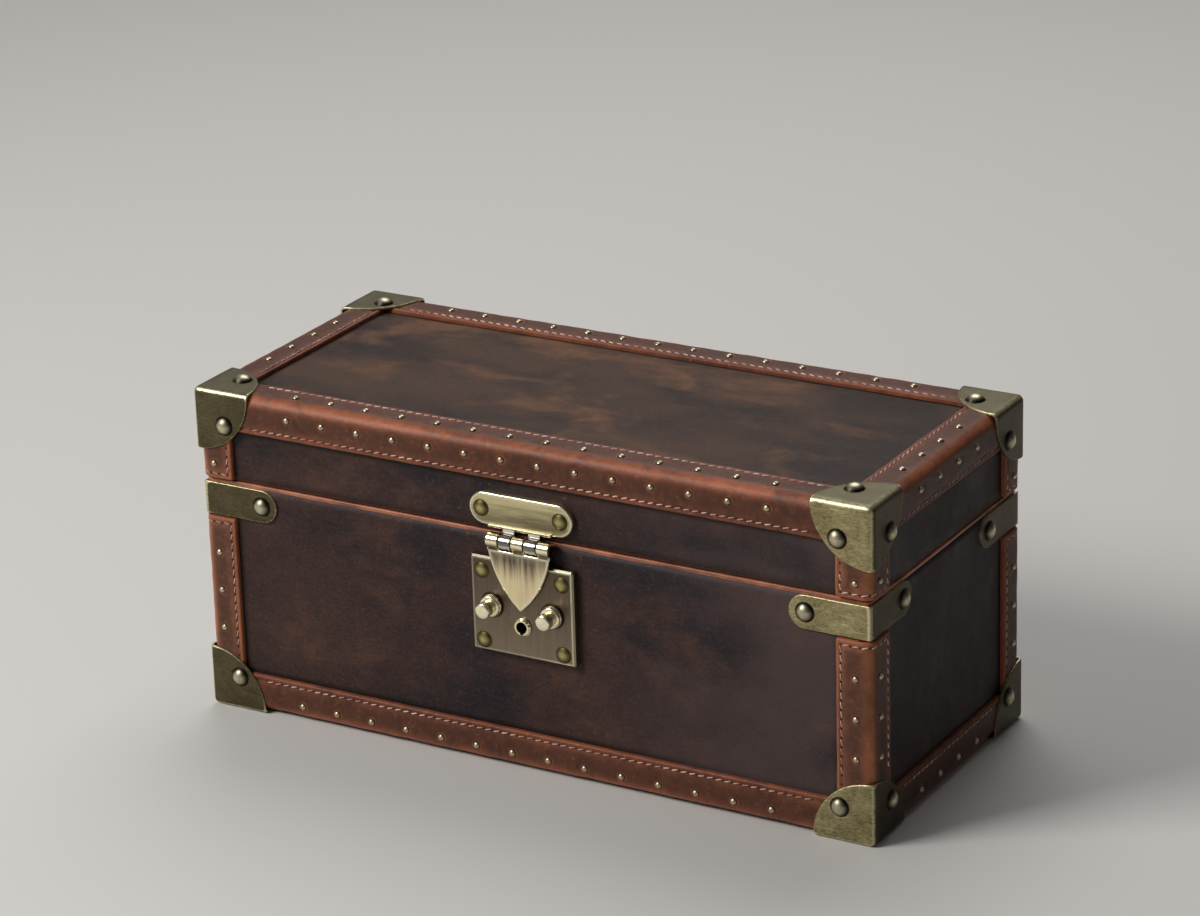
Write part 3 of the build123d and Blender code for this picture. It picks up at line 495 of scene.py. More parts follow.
def strip_leather(name, dark, brown, fold_tint_and_highlight, edge_tint, rim, holes):
    """Reddish leather, lighter towards folds and tacks, with a painted highlight at the fold and painted
    shade round each tack's foot and on the right side; rim is how light its cut edges are, and holes how much
    the awl's holes show."""
    finish = Finish(name)
    edge, fold, tack = finish.mark("edge"), finish.mark("fold"), finish.mark("tack")
    along, leg, end = finish.mark("along"), finish.mark("leg"), finish.mark("end")
    clouds = finish.noise(26, 4.0, 0.6, warp=0.5).step(0.32, 0.68)
    mottle = finish.noise(4.0, 4.0, 0.65).step(0.3, 0.75)
    streaks = finish.noise(2.6, 3.0, 0.6, finish.stretched(5, 5, 5)).step(0.35, 0.7)
    middle = (edge + finish.noise(9, 3.0, 0.6) * 4 - 2).step(1.5, 6.5) * (1 - fold)
    near = (edge + finish.noise(6, 3.0, 0.6) * 2.2 - 1.1).step(2.1, 0.5)
    flecks = finish.noise(2.2, 5.0, 0.75).step(0.54, 0.7) * fold.most(near).most(0.4)
    left_end, right_side_shade = finish.axis(0).step(-138, -152), finish.axis(0).step(156.1, 156.9)
    grime = finish.noise(13, 4.0, 0.65, warp=0.6).step(0.56, 0.7).most(left_end * 0.6)
    side_hole = along.part(STITCH_PITCH / 2).step(*HOLE) * abs(leg - STITCH_INSET).step(*HOLE)
    end_hole = (leg - STITCH_INSET).part(END_PITCH / 2).step(*HOLE) * abs(end - STITCH_INSET).step(*HOLE)
    base = finish.coats(
        dark,
        (clouds * 0.6 + mottle * 0.4, brown),
        (middle * (0.25 + rim * 0.5 + clouds * 0.4), (52, 32, 27)),
        # the lighter fold: partly the leather's own pull-up colour, partly a painted highlight
        (fold * (0.45 + clouds * 0.45) * (0.6 + mottle * 0.4), fold_tint_and_highlight),
        (near * (rim + streaks * 0.4), edge_tint),
        (edge.step(0.75, 0.2) * (rim + clouds * 0.3), (160, 90, 58)),
        (flecks * 0.5, (190, 118, 80)),
        (grime * (0.6 - flecks * 0.3) * (1 - holes * 0.7), (44, 28, 22)),
        # painted shade: the strips on the right side are darker
        (right_side_shade * 0.35, (30, 18, 13)),
        (tack.step(0.18, 0.42) * (0.2 + mottle * 0.35), (170, 98, 62)),
        # painted shade: a dark ring round the foot of each tack head
        (tack.step(0.44, 0.56) * 0.7, (20, 12, 10)),
        (side_hole.most(end_hole) * holes, (18, 10, 10)))
    relief = finish.bump(finish.grain(0.7) * 0.4 + finish.noise(1.5, 4.0, 0.65) * 0.6, 0.055)
    relief = finish.bump(finish.noise(9, 2.0, 0.5), 0.22, relief)
    rough = 0.40 + mottle * 0.12 - fold * 0.06
    return finish.surface(Base_Color=base, Roughness=rough, Normal=relief, Specular_IOR_Level=0.22)


edge_leather = strip_leather("strip_leather", (76, 44, 33), (128, 75, 49), (182, 104, 68),
                             (140, 76, 52), 0.05, 0.5)
post_leather = strip_leather("post_strip_leather", (96, 60, 46), (154, 98, 70), (190, 118, 76),
                             (172, 102, 68), 0.35, 0.85)
print("strip leathers")

# %% [markdown]
# Each strip is a length of leather folded over an edge of the case. Its section is an L with a round
# fold: down one leg, round a quarter circle, and down the other. The section is carried along the edge,
# and each point then moves out or in: in under the thread, which pulls the leather down, in round each
# tack, and a little out between the thread and the fold, where the leather stands up.

# %% The folded section
STRIP_THICK = 2.0
STRIP_WIDTH = 16.5
POST_WIDTH = 16.0
STRIP_ROUND = 5.0
CUT_ROUND = 0.9
FAR = 99.0


def ripple(first, second, size, seed):
    """Smooth noise from -1 to 1: the mean of sine waves in random directions, size mm from crest to crest."""
    dice = np.random.default_rng(seed)
    total = np.zeros(np.broadcast(first, second).shape)
    for _ in range(7):
        angle, phase, stretch = dice.uniform(0, 2 * math.pi, 2).tolist() + [dice.uniform(0.7, 1.6)]
        wave = (first * math.cos(angle) + second * math.sin(angle)) * 2 * math.pi / (size * stretch)
        total = total + np.sin(wave + phase)
    return total / 4


def leg_outline(width):
    """Distances from the corner (a on one leg, b on the other), outward direction, and distance to the cut
    edge, for points from one free edge over the fold to the other, then back through the inner corner."""
    cut = np.linspace(0, math.pi / 2, 5)
    flat = np.linspace(width - CUT_ROUND, STRIP_ROUND, 20)[1:-1]
    bend = np.linspace(0, math.pi / 2, 11)
    bend_a = STRIP_ROUND - STRIP_ROUND * np.sin(bend)
    bend_b = STRIP_ROUND - STRIP_ROUND * np.cos(bend)
    a = np.concatenate([[width], width - CUT_ROUND + CUT_ROUND * np.cos(cut), flat, bend_a])
    b = np.concatenate([[STRIP_THICK], CUT_ROUND - CUT_ROUND * np.sin(cut), 0 * flat, bend_b])
    out_a = np.concatenate([[0.6], np.cos(cut), 0 * flat, -np.sin(bend)])
    out_b = np.concatenate([[0.0], -np.sin(cut), 0 * flat - 1, -np.cos(bend)])
    edge = np.concatenate([[0.0], CUT_ROUND * (1 - np.cos(cut)) * 0.6, width - flat,
                           width - STRIP_ROUND + STRIP_ROUND * bend])
    half = STRIP_ROUND * math.pi / 4 + width - STRIP_ROUND
    edge = np.minimum(edge, 2 * half - edge)
    fold = np.exp(-(((edge - half) / 2.6) ** 2))
    fold[edge < half - 6] = 0
    pairs = ((a, b), (b, a), (out_a, out_b), (out_b, out_a), (edge, edge), (fold, fold))
    inner_corner = (STRIP_THICK, STRIP_THICK, 0, 0, FAR, 0)
    return [np.concatenate([one, other[::-1][len(bend):], [last]])
            for (one, other), last in zip(pairs, inner_corner)]


print("points in a section:", len(leg_outline(STRIP_WIDTH)[0]))


# %% A strip along an edge
ROW_PITCH = 1.1


def folded_strip(corner, leg_a, leg_b, run, length, width, tacks, first_hole, seed,
                 stitched_ends=(False, False)):
    """Carries the section along run. Outward move = puff between thread and fold - groove under the thread
    - dent round each tack + ripple. The end rows draw in, so that the ends are rounded."""
    a, b, out_a, out_b, edge, fold = leg_outline(width)
    flat_run = np.linspace(CUT_ROUND, length - CUT_ROUND, int(length / ROW_PITCH))
    turn = np.linspace(0, math.pi / 2, 4)[:-1]
    drop = CUT_ROUND * (1 - np.sin(turn))
    start = CUT_ROUND * (1 - np.cos(turn))
    distance = np.concatenate([start, flat_run, length - start[::-1]])[:, None]
    inset = np.concatenate([drop, 0 * flat_run, drop[::-1]])[:, None]

    outer = edge < FAR
    to_end = np.full_like(distance, FAR)
    if stitched_ends[0]:
        to_end = np.minimum(to_end, distance)
    if stitched_ends[1]:
        to_end = np.minimum(to_end, length - distance)
    cut_edge = np.minimum(edge, to_end)
    puff = 0.22 * np.clip(1 - ((edge - 8.0) / 6.0) ** 2, 0, 1)
    groove = 0.34 * np.exp(-(((cut_edge - STITCH_INSET) / 0.65) ** 2))
    dent = np.zeros(np.broadcast(distance, edge).shape)
    for across, along in tacks:
        away = (edge - across) ** 2 + (distance - along) ** 2
        dent = np.maximum(dent, np.exp(-away / 2.4**2))
    move = puff - groove - 0.45 * dent + 0.10 * ripple(edge, distance, 13, seed) - inset
    move = np.where(outer, np.clip(move, -STRIP_THICK, 0.35), 0)
    grid_a = np.where(outer, a + out_a * move, a)
    grid_b = np.where(outer, b + out_b * move, b)
    corner, leg_a, leg_b, run = (np.array(v, float) for v in (corner, leg_a, leg_b, run))
    points = (corner + MIDDLE + grid_a[..., None] * leg_a + grid_b[..., None] * leg_b
              + distance[..., None] * run)
    return grid(points, round_columns=True, edge=cut_edge, leg=edge, end=to_end, along=distance - first_hole,
                fold=fold, tack=dent**1.5)


print("rows in 100 mm of strip:", int(100 / ROW_PITCH))


# %% [markdown]
# Long strips run the length of the case, short ones fit between them, and upright ones, the posts, cover
# the corners of the lid and of the base. The tacks stand in rows at an even pitch about the middle of
# each side. The same row positions serve the dents in the leather here and the tack heads later.

# %% Where the edges and the tacks are
case_x, case_y = 157.0, 69.0
case_low, case_top = 1.0, 143.6
lid_low, base_top = 104.6, 104.0
post_top = node_box("base_post_strips")[1][2]
TACK_PITCH = 17.2
long_row = (np.arange(14) - 6.5) * TACK_PITCH
short_row = (np.arange(4) - 1.5) * TACK_PITCH
FACE_TACK, TOP_TACK, FOOT_TACK, POST_TACK = 7.4, 8.0, 6.0, 7.3
long_half = case_x - STRIP_ROUND
STRIP_GAP = 0.2
short_half = case_y - STRIP_WIDTH - STRIP_GAP
SEAM_START = 27.0
long_seam, short_seam = case_x - SEAM_START, case_y - SEAM_START
lid_post_tack = lid_low + 6.7
base_post_tacks = np.array([71.1, 53.9, 36.7])
print("lid", round(case_top - lid_low, 1), "base", round(base_top - case_low, 1))


def mirror_part(part, x=False, y=False):
    """The part's mirror image; the faces' order turns round, so that they still point outwards."""
    sign = np.array([-1.0 if x else 1.0, -1.0 if y else 1.0, 1.0])
    points = (part["points"] - MIDDLE) * sign + MIDDLE
    return {"points": points, "faces": part["faces"][:, ::-1], "marks": part["marks"]}


# %% Strips round the lid and the foot
def four_strips(z, leg_up, tack_inset, seed):
    """Two long and two short strips whose folds are at height z; the first leg is on a face of the case,
    and the second on top or below. The back and left ones are mirror images with waves of their own."""
    made = []
    for number, flip in enumerate((False, True)):
        tacks = [(STRIP_WIDTH - tack_inset, x + long_half) for x in long_row]
        part = folded_strip((-long_half, -case_y, z), (0, 0, leg_up), (0, 1, 0), (1, 0, 0), 2 * long_half,
                            STRIP_WIDTH, tacks, long_half - long_seam, seed + number)
        made.append(mirror_part(part, y=True) if flip else part)
        tacks = [(STRIP_WIDTH - tack_inset, y + short_half) for y in short_row]
        part = folded_strip((case_x, -short_half, z), (0, 0, leg_up), (-1, 0, 0), (0, 1, 0), 2 * short_half,
                            STRIP_WIDTH, tacks, short_half - short_seam, seed + 10 + number)
        made.append(mirror_part(part, x=True) if flip else part)
    return made


piece("lid_edge_strips", four_strips(case_top, -1, FACE_TACK, 11), edge_leather, "lid",
      ["lid_top_strips"], 60)
piece("base_foot_edge_strips", four_strips(case_low, 1, FOOT_TACK, 31), edge_leather, "base",
      ["base_foot_strips"], 60)

# %% Upright strips at the corners
lid_post_top = case_top - STRIP_WIDTH - STRIP_GAP
base_post_low = case_low + STRIP_WIDTH + STRIP_GAP


def posts(low, high, tack_levels, first_hole, stitched_ends, seed):
    """The four upright strips of the lid or of the base."""
    tacks = [(POST_WIDTH - POST_TACK, level - low) for level in tack_levels]
    made = []
    for number, (x, y) in enumerate(((False, False), (True, False), (False, True), (True, True))):
        part = folded_strip((case_x, -case_y, low), (-1, 0, 0), (0, 1, 0), (0, 0, 1), high - low,
                            POST_WIDTH, tacks, first_hole, seed + number, stitched_ends)
        made.append(mirror_part(part, x, y))
    return made


lid_posts = posts(lid_low, lid_post_top, [lid_post_tack], STITCH_INSET, (True, False), 51)
piece("lid_corner_strips", lid_posts, post_leather, "lid", ["lid_post_strips"], 60)
top_hole = post_top - base_post_low - STITCH_INSET
base_posts = posts(base_post_low, post_top, base_post_tacks, top_hole, (False, True), 61)
piece("base_corner_strips", base_posts, post_leather, "base", ["base_post_strips"], 60)

# %% [markdown]
# Waxed thread runs 2.3 mm inside each cut edge. Every stitch is the same small sausage that dips into the
# leather at both ends, laid a little aslant, as a saddle stitch lies. A thousand of them are placed
# together, so each has only a few faces. At the ends of the upright strips the row goes round the fold.

# %% Thread finish and one stitch
thread = Finish("waxed_thread")
twist = thread.noise(0.5, 2.0, 0.5).step(0.35, 0.7)
faded = thread.noise(16, 2.0, 0.6).step(0.35, 0.7)
thread_base = thread.coats((178, 126, 112), (faded, (240, 208, 196)), (twist * 0.35, (128, 80, 68)))
thread.surface(Base_Color=thread_base, Roughness=0.5, Normal=thread.bump(twist, 0.05))

STITCH_HALF = 1.7
THREAD_RADIUS = 0.29


def stitch():
    """Along = 1.7 s, radius = 0.29 sqrt(1 - s**4) and lift = 0.14 - 0.42 s**4, with s from -1 to 1."""
    station = np.linspace(-1, 1, 7)[:, None]
    angle = np.linspace(0, 2 * math.pi, 6, endpoint=False)
    radius = THREAD_RADIUS * np.sqrt(np.clip(1 - station**4, 0, 1))
    points = np.broadcast_arrays(station * STITCH_HALF, radius * np.cos(angle),
                                 radius * np.sin(angle) + 0.14 - 0.42 * station**4)
    return grid(np.stack(points, -1), round_columns=True)


one_stitch = stitch()
print("faces in a stitch:", len(one_stitch["faces"]))


# %% Rows of stitches
SLANT = 0.24
SUNK = 0.22


def slanted(points, normals, runs, seed):
    """Turns each stitch a little about the face's direction, moves it a little aside, and sinks it."""
    dice = np.random.default_rng(seed)
    sides = np.cross(normals, runs)
    lean = SLANT + dice.uniform(-0.05, 0.05, len(points))[:, None]
    moved = points + sides * dice.uniform(-0.08, 0.08, len(points))[:, None] - normals * SUNK
    return moved, normals, runs * np.cos(lean) + sides * np.sin(lean)


def stitch_row(start, run, length, normal, seed):
    """Stitches from start along run, as many as fit, each between two holes of the pitch."""
    count = int(length / STITCH_PITCH + 0.01)
    start, run, normal = (np.array(v, float) for v in (start, run, normal))
    points = start + ((np.arange(count) + 0.5) * STITCH_PITCH)[:, None] * run
    return slanted(points, np.repeat(normal[None], count, 0), np.repeat(run[None], count, 0), seed)


def row_round_fold(level, seed):
    """Six stitches across an upright strip. Their distances along the section go down the front leg, round
    the quarter circle of the fold, whose angle is distance / radius, and along the side leg."""
    leg = POST_WIDTH - STRIP_ROUND
    distance = STITCH_INSET + (np.arange(6) + 0.5) * END_PITCH
    angle = np.clip((distance - leg) / STRIP_ROUND, 0, math.pi / 2)
    beyond = np.clip(distance - leg - STRIP_ROUND * math.pi / 2, 0, None)
    x = case_x - STRIP_ROUND - np.clip(leg - distance, 0, None) + STRIP_ROUND * np.sin(angle)
    y = -case_y + STRIP_ROUND + beyond - STRIP_ROUND * np.cos(angle)
    points = np.stack([x, y, np.full(6, level)], 1)
    normals = np.stack([np.sin(angle), -np.cos(angle), np.zeros(6)], 1)
    return slanted(points, normals, np.stack([np.cos(angle), np.sin(angle), np.zeros(6)], 1), seed)


def stitches(name, rows, body):
    """One piece of thread from many rows."""
    points, normals, along = (np.concatenate(values) for values in zip(*rows))
    return piece(name, [set_at(one_stitch, points, normals, along)], thread.material, body)


print("stitches in 100 mm:", int(100 / STITCH_PITCH))


# %% Thread of the lid and the base
front, side_out, top, under = (0, -1, 0), (1, 0, 0), (0, 0, 1), (0, 0, -1)
seam, post_seam = STRIP_WIDTH - STITCH_INSET, POST_WIDTH - STITCH_INSET


def strip_rows(level, inward, flat, seed):
    """Rows on the faces and on the top or underside of the strips whose fold is at that level. The first two
    run along the front, and their images along the back. The others run along the right and left."""
    face_z = level + inward * seam
    rows = [((-long_seam, -case_y, face_z), front), ((-long_seam, -case_y + seam, level), flat),
            ((case_x, -short_seam, face_z), side_out), ((case_x - seam, -short_seam, level), flat)]
    made = []
    for number, (start, normal) in enumerate(rows):
        along_x = number < 2
        run, length = ((1, 0, 0), 2 * long_seam) if along_x else ((0, 1, 0), 2 * short_seam)
        row = stitch_row(start, run, length, normal, seed + number)
        made.append(mirrored(*row, x=not along_x, y=along_x))
    return made


def post_rows(start, run, length, level, seed):
    """Rows up both legs of the upright strips, and the row across their free end."""
    rows = [stitch_row((case_x - post_seam, -case_y, start), run, length, front, seed),
            stitch_row((case_x, -case_y + post_seam, start), run, length, side_out, seed + 1),
            row_round_fold(level, seed + 2)]
    return [mirrored(*row, x=True, y=True) for row in rows]


UNDER_BRASS = 25
lid_end, base_end = lid_low + STITCH_INSET, post_top - STITCH_INSET
stitches("lid_stitching", strip_rows(case_top, -1, top, 1)
         + post_rows(lid_end, top, case_top - UNDER_BRASS - lid_end, lid_end, 5), "lid")
stitches("base_stitching", strip_rows(case_low, 1, under, 11)
         + post_rows(base_end, under, base_end - UNDER_BRASS, base_end, 15), "base")

# %% [markdown]
# Old brass is seldom one colour. Its hollows keep a dark olive skin, while edges and high spots are rubbed
# bright. The stamped corners and brackets carry a mark for wear, which is high along their folds and
# rims. The finish mixes fine dark specks, olive brass and bright brass by that mark and by noise. The
# flat tops are smooth and grey-green, darker partly as a painted reflection of the dim room above. The
# left corners are darker, and the end faces on the right are darkest, which there is painted shade. The
# dome rivets are newer and smooth, and their mark paints shading on them: dark at the foot, light at the
# crown.


# %% Aged brass
CAP_TOP = case_top + 1.0
BRIGHT_BRASS = (240, 230, 186)


def aged_brass(name, right_low, right_high):
    """Brass with a speckled skin, rubbed bright where the mesh's mark for wear is high. The right faces,
    which lie between the two given distances from the middle, are darkest, as painted shade."""
    finish = Finish(name)
    x, wear = finish.axis(0), finish.mark("wear")
    flat_top = finish.axis(2).step(CAP_TOP - 1.4, CAP_TOP - 0.05)
    shaded_right_face = x.step(right_low, right_high)
    cloud = finish.noise(8, 3.0, 0.6).step(0.3, 0.7)
    speckle = finish.noise(0.7, 5.0, 0.8, finish.stretched(2.4, 2.4, 1)).step(0.3, 0.7)
    scuff = finish.noise(1.2, 3.0, 0.6, finish.stretched(6, 6, 1)).step(0.55, 0.75)
    rubbed = (wear + (speckle - 0.5) * 0.3).step(0.55, 1.05) * (1 - shaded_right_face * 0.6)
    base = finish.coats(
        (104, 94, 60),
        (speckle * 0.62 + cloud * 0.38, (196, 184, 138)),
        (scuff * 0.35, BRIGHT_BRASS),
        # the flat tops: smooth grey-green, darker partly as a painted reflection of the dim room above
        (flat_top * 0.85, (94, 89, 70)),
        (x.step(80, -100) * (0.8 - flat_top * 0.65), (60, 52, 38)),
        # painted shade: the faces on the right are darkest
        (shaded_right_face * 0.85, (40, 33, 26)),
        (rubbed * 0.75, BRIGHT_BRASS))
    rough = 0.42 - rubbed * 0.04 + speckle * 0.06
    relief = finish.bump(speckle * 0.6 + scuff * 0.4, 0.012)
    relief = finish.bump(finish.noise(12, 2.0, 0.5), 0.10, relief)
    return finish.surface(Base_Color=base, Metallic=1.0, Roughness=rough, Normal=relief)


def smooth_brass(name, foot, crown, rough):
    """Rivet brass with painted shading: dark at the foot and light at the crown, after the mesh's mark."""
    finish = Finish(name)
    wear = finish.mark("wear")
    cloud = finish.noise(1.8, 3.0, 0.6).step(0.3, 0.7)
    fine = finish.noise(0.35, 2.0, 0.5).step(0.3, 0.7)
    base = finish.coats(foot, (wear.step(0.1, 0.7), crown), (cloud * 0.25 + fine * 0.1, foot))
    return finish.surface(Base_Color=base, Metallic=1.0, Roughness=rough + cloud * 0.08,
                          Normal=finish.bump(fine, 0.006))


antique = aged_brass("corner_brass", 156.2, 157.95)
bracket_brass = aged_brass("bracket_brass", 155.2, 156.15)
rivet_brass = smooth_brass("rivet_brass", (48, 43, 34), (210, 200, 168), 0.35)
olive_brass = smooth_brass("olive_brass", (84, 76, 44), (196, 182, 122), 0.32)
print("brass finishes")

# %% [markdown]
# A stamped corner is three quarter discs joined over a rounded box corner. Polar rings about the corner
# point cover all three at once: the angle runs through three right angles, one for each face, and closes.
# A point of the sharp box is rounded by measuring from the box that is one fold radius further in. Depth
# below the outer face then gives the rolled rim and the inside.

# %% Stamped corners
CORNER_LEG = 27.2
CORNER_FOLD = 2.7
BRASS_THICK = 1.0
RIM_ROLL = 0.45


def brass_corner():
    """Point = c + (fold radius - depth) n, where c = max(p, fold radius) and n points from c to p. Rows are
    26 over the face, 8 round the rim, and 10 back along the inside."""
    angle = np.linspace(0, 1.5 * math.pi, 66, endpoint=False)
    face = np.minimum((angle / (math.pi / 2)).astype(int), 2)
    turn = angle - face * math.pi / 2
    ways = np.zeros((len(angle), 3))
    ways[np.arange(len(angle)), face] = np.cos(turn)
    ways[np.arange(len(angle)), (face + 1) % 3] = np.sin(turn)
    lean = np.cos(turn) + np.sin(turn)
    reach = lean + np.sqrt(lean**2 - 2 + (CORNER_LEG - 1) ** 2)

    roll = np.linspace(0, math.pi / 2, 5)
    share = np.concatenate([np.linspace(0, 1, 26), np.ones(8), np.linspace(1, 0, 10)])
    short = np.concatenate([np.full(26, RIM_ROLL), RIM_ROLL * (1 - np.sin(roll[1:])), np.zeros(14)])
    depth = np.concatenate([np.zeros(26), RIM_ROLL * (1 - np.cos(roll[1:])),
                            np.linspace(RIM_ROLL, BRASS_THICK, 5)[1:], np.full(10, BRASS_THICK)])
    radius = share[:, None] * (reach - short[:, None])
    sharp_points = radius[..., None] * ways
    core = np.maximum(sharp_points, CORNER_FOLD)
    out = sharp_points - core
    out /= np.linalg.norm(out, axis=-1, keepdims=True)
    points = core + (CORNER_FOLD - depth[:, None, None]) * out
    first, second = np.cos(turn) * radius, np.sin(turn) * radius
    near_fold = np.minimum(first, second)
    wear = np.exp(-((near_fold / 2.1) ** 2)) + np.exp(-(((reach - radius) / 0.55) ** 2)) * 0.85
    return points, np.where(depth[:, None] > 0.9, 0, np.clip(wear, 0, 1))


corner_points, corner_wear = brass_corner()


def corner_caps(z, downward):
    """Four corners at height z; the faces run down from it on the lid and up from it on the base."""
    outer = np.array([case_x + BRASS_THICK, -case_y - BRASS_THICK, z])
    points = outer + MIDDLE + corner_points * [-1, 1, -1 if downward else 1]
    part = grid(points, round_columns=True, wear=corner_wear)
    return [mirror_part(part, x, y) for x in (False, True) for y in (False, True)]


piece("lid_brass_corners", corner_caps(CAP_TOP, True), antique, "lid", ["lid_corners"], 50)
piece("base_brass_corners", corner_caps(0.0, False), antique, "base",
      [f"base_corner_{side}_{end}" for side in ("left", "right") for end in ("front", "back")], 50)

# %% [markdown]
# An angle bracket is a bar with round ends, bent round the case. Flat, each column of its grid is a
# section from the back over one rolled edge, across the face and down the other edge. At the round ends
# the section shrinks with the sine of an angle. Bending then turns the outward direction from the front
# to the side.

# %% Angle brackets
BRACKET_THICK = 1.2
BRACKET_HALF = 7.2
BRACKET_RUN = 34.8
END_COLUMNS = 12
bracket_z = 95.1
panel_x, panel_y = 155.0, 67.0


def round_bar(half_length, radius, thick, roll, middle_columns):
    """Along, across, height and wear of a bar with round ends: along = end centre + (radius - inset) cos,
    across = share (radius - inset) sin."""
    bend = np.linspace(0, math.pi / 2, END_COLUMNS)
    ends = np.full(END_COLUMNS, half_length - radius)
    centre = np.concatenate([-ends, middle_columns, ends])
    sine = np.concatenate([np.sin(bend), np.ones(len(middle_columns)), np.cos(bend)])
    cosine = np.concatenate([-np.cos(bend), np.zeros(len(middle_columns)), np.sin(bend)])
    arc = np.linspace(0, math.pi / 2, 4)
    share = np.concatenate([-np.ones(5), np.linspace(-1, 1, 9)[1:-1], np.ones(5)])[:, None]
    rim_in = np.concatenate([[0], roll * (1 - np.cos(arc))])
    rim_up = np.concatenate([[0], thick - roll + roll * np.sin(arc)])
    inset = np.concatenate([rim_in, np.full(7, roll), rim_in[::-1]])[:, None]
    height = np.concatenate([rim_up, np.full(7, thick), rim_up[::-1]])[:, None]
    along = centre + (radius - inset) * cosine
    across = share * (radius - inset) * sine
    from_rim = radius - np.sqrt(across**2 + ((radius - inset) * cosine) ** 2)
    wear = np.exp(-((from_rim / 0.6) ** 2)) * 0.9
    return along, across, np.broadcast_to(height, along.shape), wear


def brackets():
    """The bar bent at its middle: left of it on the front face, right of it on the side face."""
    front_columns, fold_columns = np.linspace(-27, -1.5, 12), np.zeros(7)
    middle_columns = np.concatenate([front_columns, fold_columns, -front_columns[::-1]])
    along, across, height, wear = round_bar(BRACKET_RUN, BRACKET_HALF, BRACKET_THICK, 0.35, middle_columns)
    turn = np.where(along < -0.01, -math.pi / 2, 0.0)
    fold = END_COLUMNS + len(front_columns) + np.arange(len(fold_columns))
    turn[:, fold] = np.linspace(-math.pi / 2, 0, len(fold_columns))
    x = np.minimum(along, 0) + height * np.cos(turn)
    y = np.maximum(along, 0) + height * np.sin(turn)
    points = np.stack([panel_x + x, -panel_y + y, bracket_z + across], -1) + MIDDLE
    wear = np.clip(wear + np.exp(-((along / 1.0) ** 2)) * (height > 0.5), 0, 1)
    part = grid(points, round_rows=True, wear=wear)
    return [mirror_part(part, a, b) for a in (False, True) for b in (False, True)]


piece("base_angle_brackets", brackets(), bracket_brass, "base", ["base_brackets"], 40)

# %% [markdown]
# Dome rivets hold the corners and brackets, and small tacks hold the strips. Each head is a round cap
# with a short skirt that dips into what it sits on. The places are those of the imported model.

# %% Dome rivets
rivet_profile = np.concatenate([[(4.25, -0.4), (4.3, 0.0)], dome(4.15, 2.4, 9)])
# the mark paints shading on each rivet head: dark at the foot, light at the crown
rivet_shading = np.concatenate([[0.0, 0.0], np.linspace(0.0, 1.0, 9)])
dome_rivet = turned(rivet_profile, 28, wear=rivet_shading)
low_profile = np.concatenate([[(3.7, -0.3), (3.7, 0.0)], dome(3.65, 1.15, 7)])
low_rivet = turned(low_profile, 28, wear=np.concatenate([[0.0, 0.0], np.linspace(0.0, 0.75, 7)]))

RIVET_INSET = 14.3
BAR_RIVET = 28.8
face_x, face_y = case_x + BRASS_THICK, case_y + BRASS_THICK
rivet_x, rivet_y = case_x - RIVET_INSET, case_y - RIVET_INSET
crown, low = case_top - RIVET_INSET, case_low + RIVET_INSET
lid_places = mirrored([(rivet_x, -face_y, crown), (face_x, -rivet_y, crown), (rivet_x, -rivet_y, CAP_TOP)],
                      [front, side_out, top], x=True, y=True)
bend_x, bend_y = panel_x + BRACKET_THICK, panel_y + BRACKET_THICK
base_places = mirrored([(rivet_x, -face_y, low), (face_x, -rivet_y, low),
                        (bend_x - BAR_RIVET, -bend_y, bracket_z), (bend_x, -bend_y + BAR_RIVET, bracket_z)],
                       [front, side_out] * 2, x=True, y=True)
piece("lid_rivet_heads", [set_at(dome_rivet, *lid_places)], rivet_brass, "lid",
      ["lid_dome_rivets"])
piece("base_rivet_heads", [set_at(dome_rivet, *base_places)], rivet_brass, "base",
      ["base_dome_rivets"])

LOCK_FACE = 70.5
lock_low, lock_high = 51.9, 93.5
lock_places = mirrored([(18.7, -LOCK_FACE, lock_low + 4.8), (18.7, -LOCK_FACE, lock_high - 6.1)],
                       [front] * 2, x=True)
HASP_THICK = 2.6
hasp_z, hasp_face = 114.2, panel_y + HASP_THICK
hasp_places = mirrored([(18.4, -hasp_face, hasp_z)], [front], x=True)
for name, places, body in (("lock", lock_places, "base"), ("hasp", hasp_places, "lid")):
    piece(f"{name}_rivet_heads", [set_at(low_rivet, *places)], olive_brass, body,
          [f"{name}_rivets"])

# %% Tacks
tack_profile = [(1.42, -0.6), (1.45, -0.12), (1.32, 0.34), (0.86, 0.78), (0.0, 1.0)]
# the mark paints shading on each tack head: dark at the foot, light at the crown
tack = turned(tack_profile, 10, wear=[0.0, 0.15, 0.6, 0.95, 1.0])


def tack_row(x, y, z, normal):
    """Tacks looking along the normal. One of the three coordinates may be a whole row of values."""
    points = np.stack(np.broadcast_arrays(x, y, z), -1).reshape(-1, 3)
    return points, np.repeat([normal], len(points), 0)


def tacks(name, rows, body, stands_for):
    """One piece of tacks from rows, each given with the ways in which it is mirrored."""
    parts = [set_at(tack, *mirrored(*row, x="x" in ways, y="y" in ways)) for row, ways in rows]
    piece(name, parts, rivet_brass, body, [stands_for], 80)


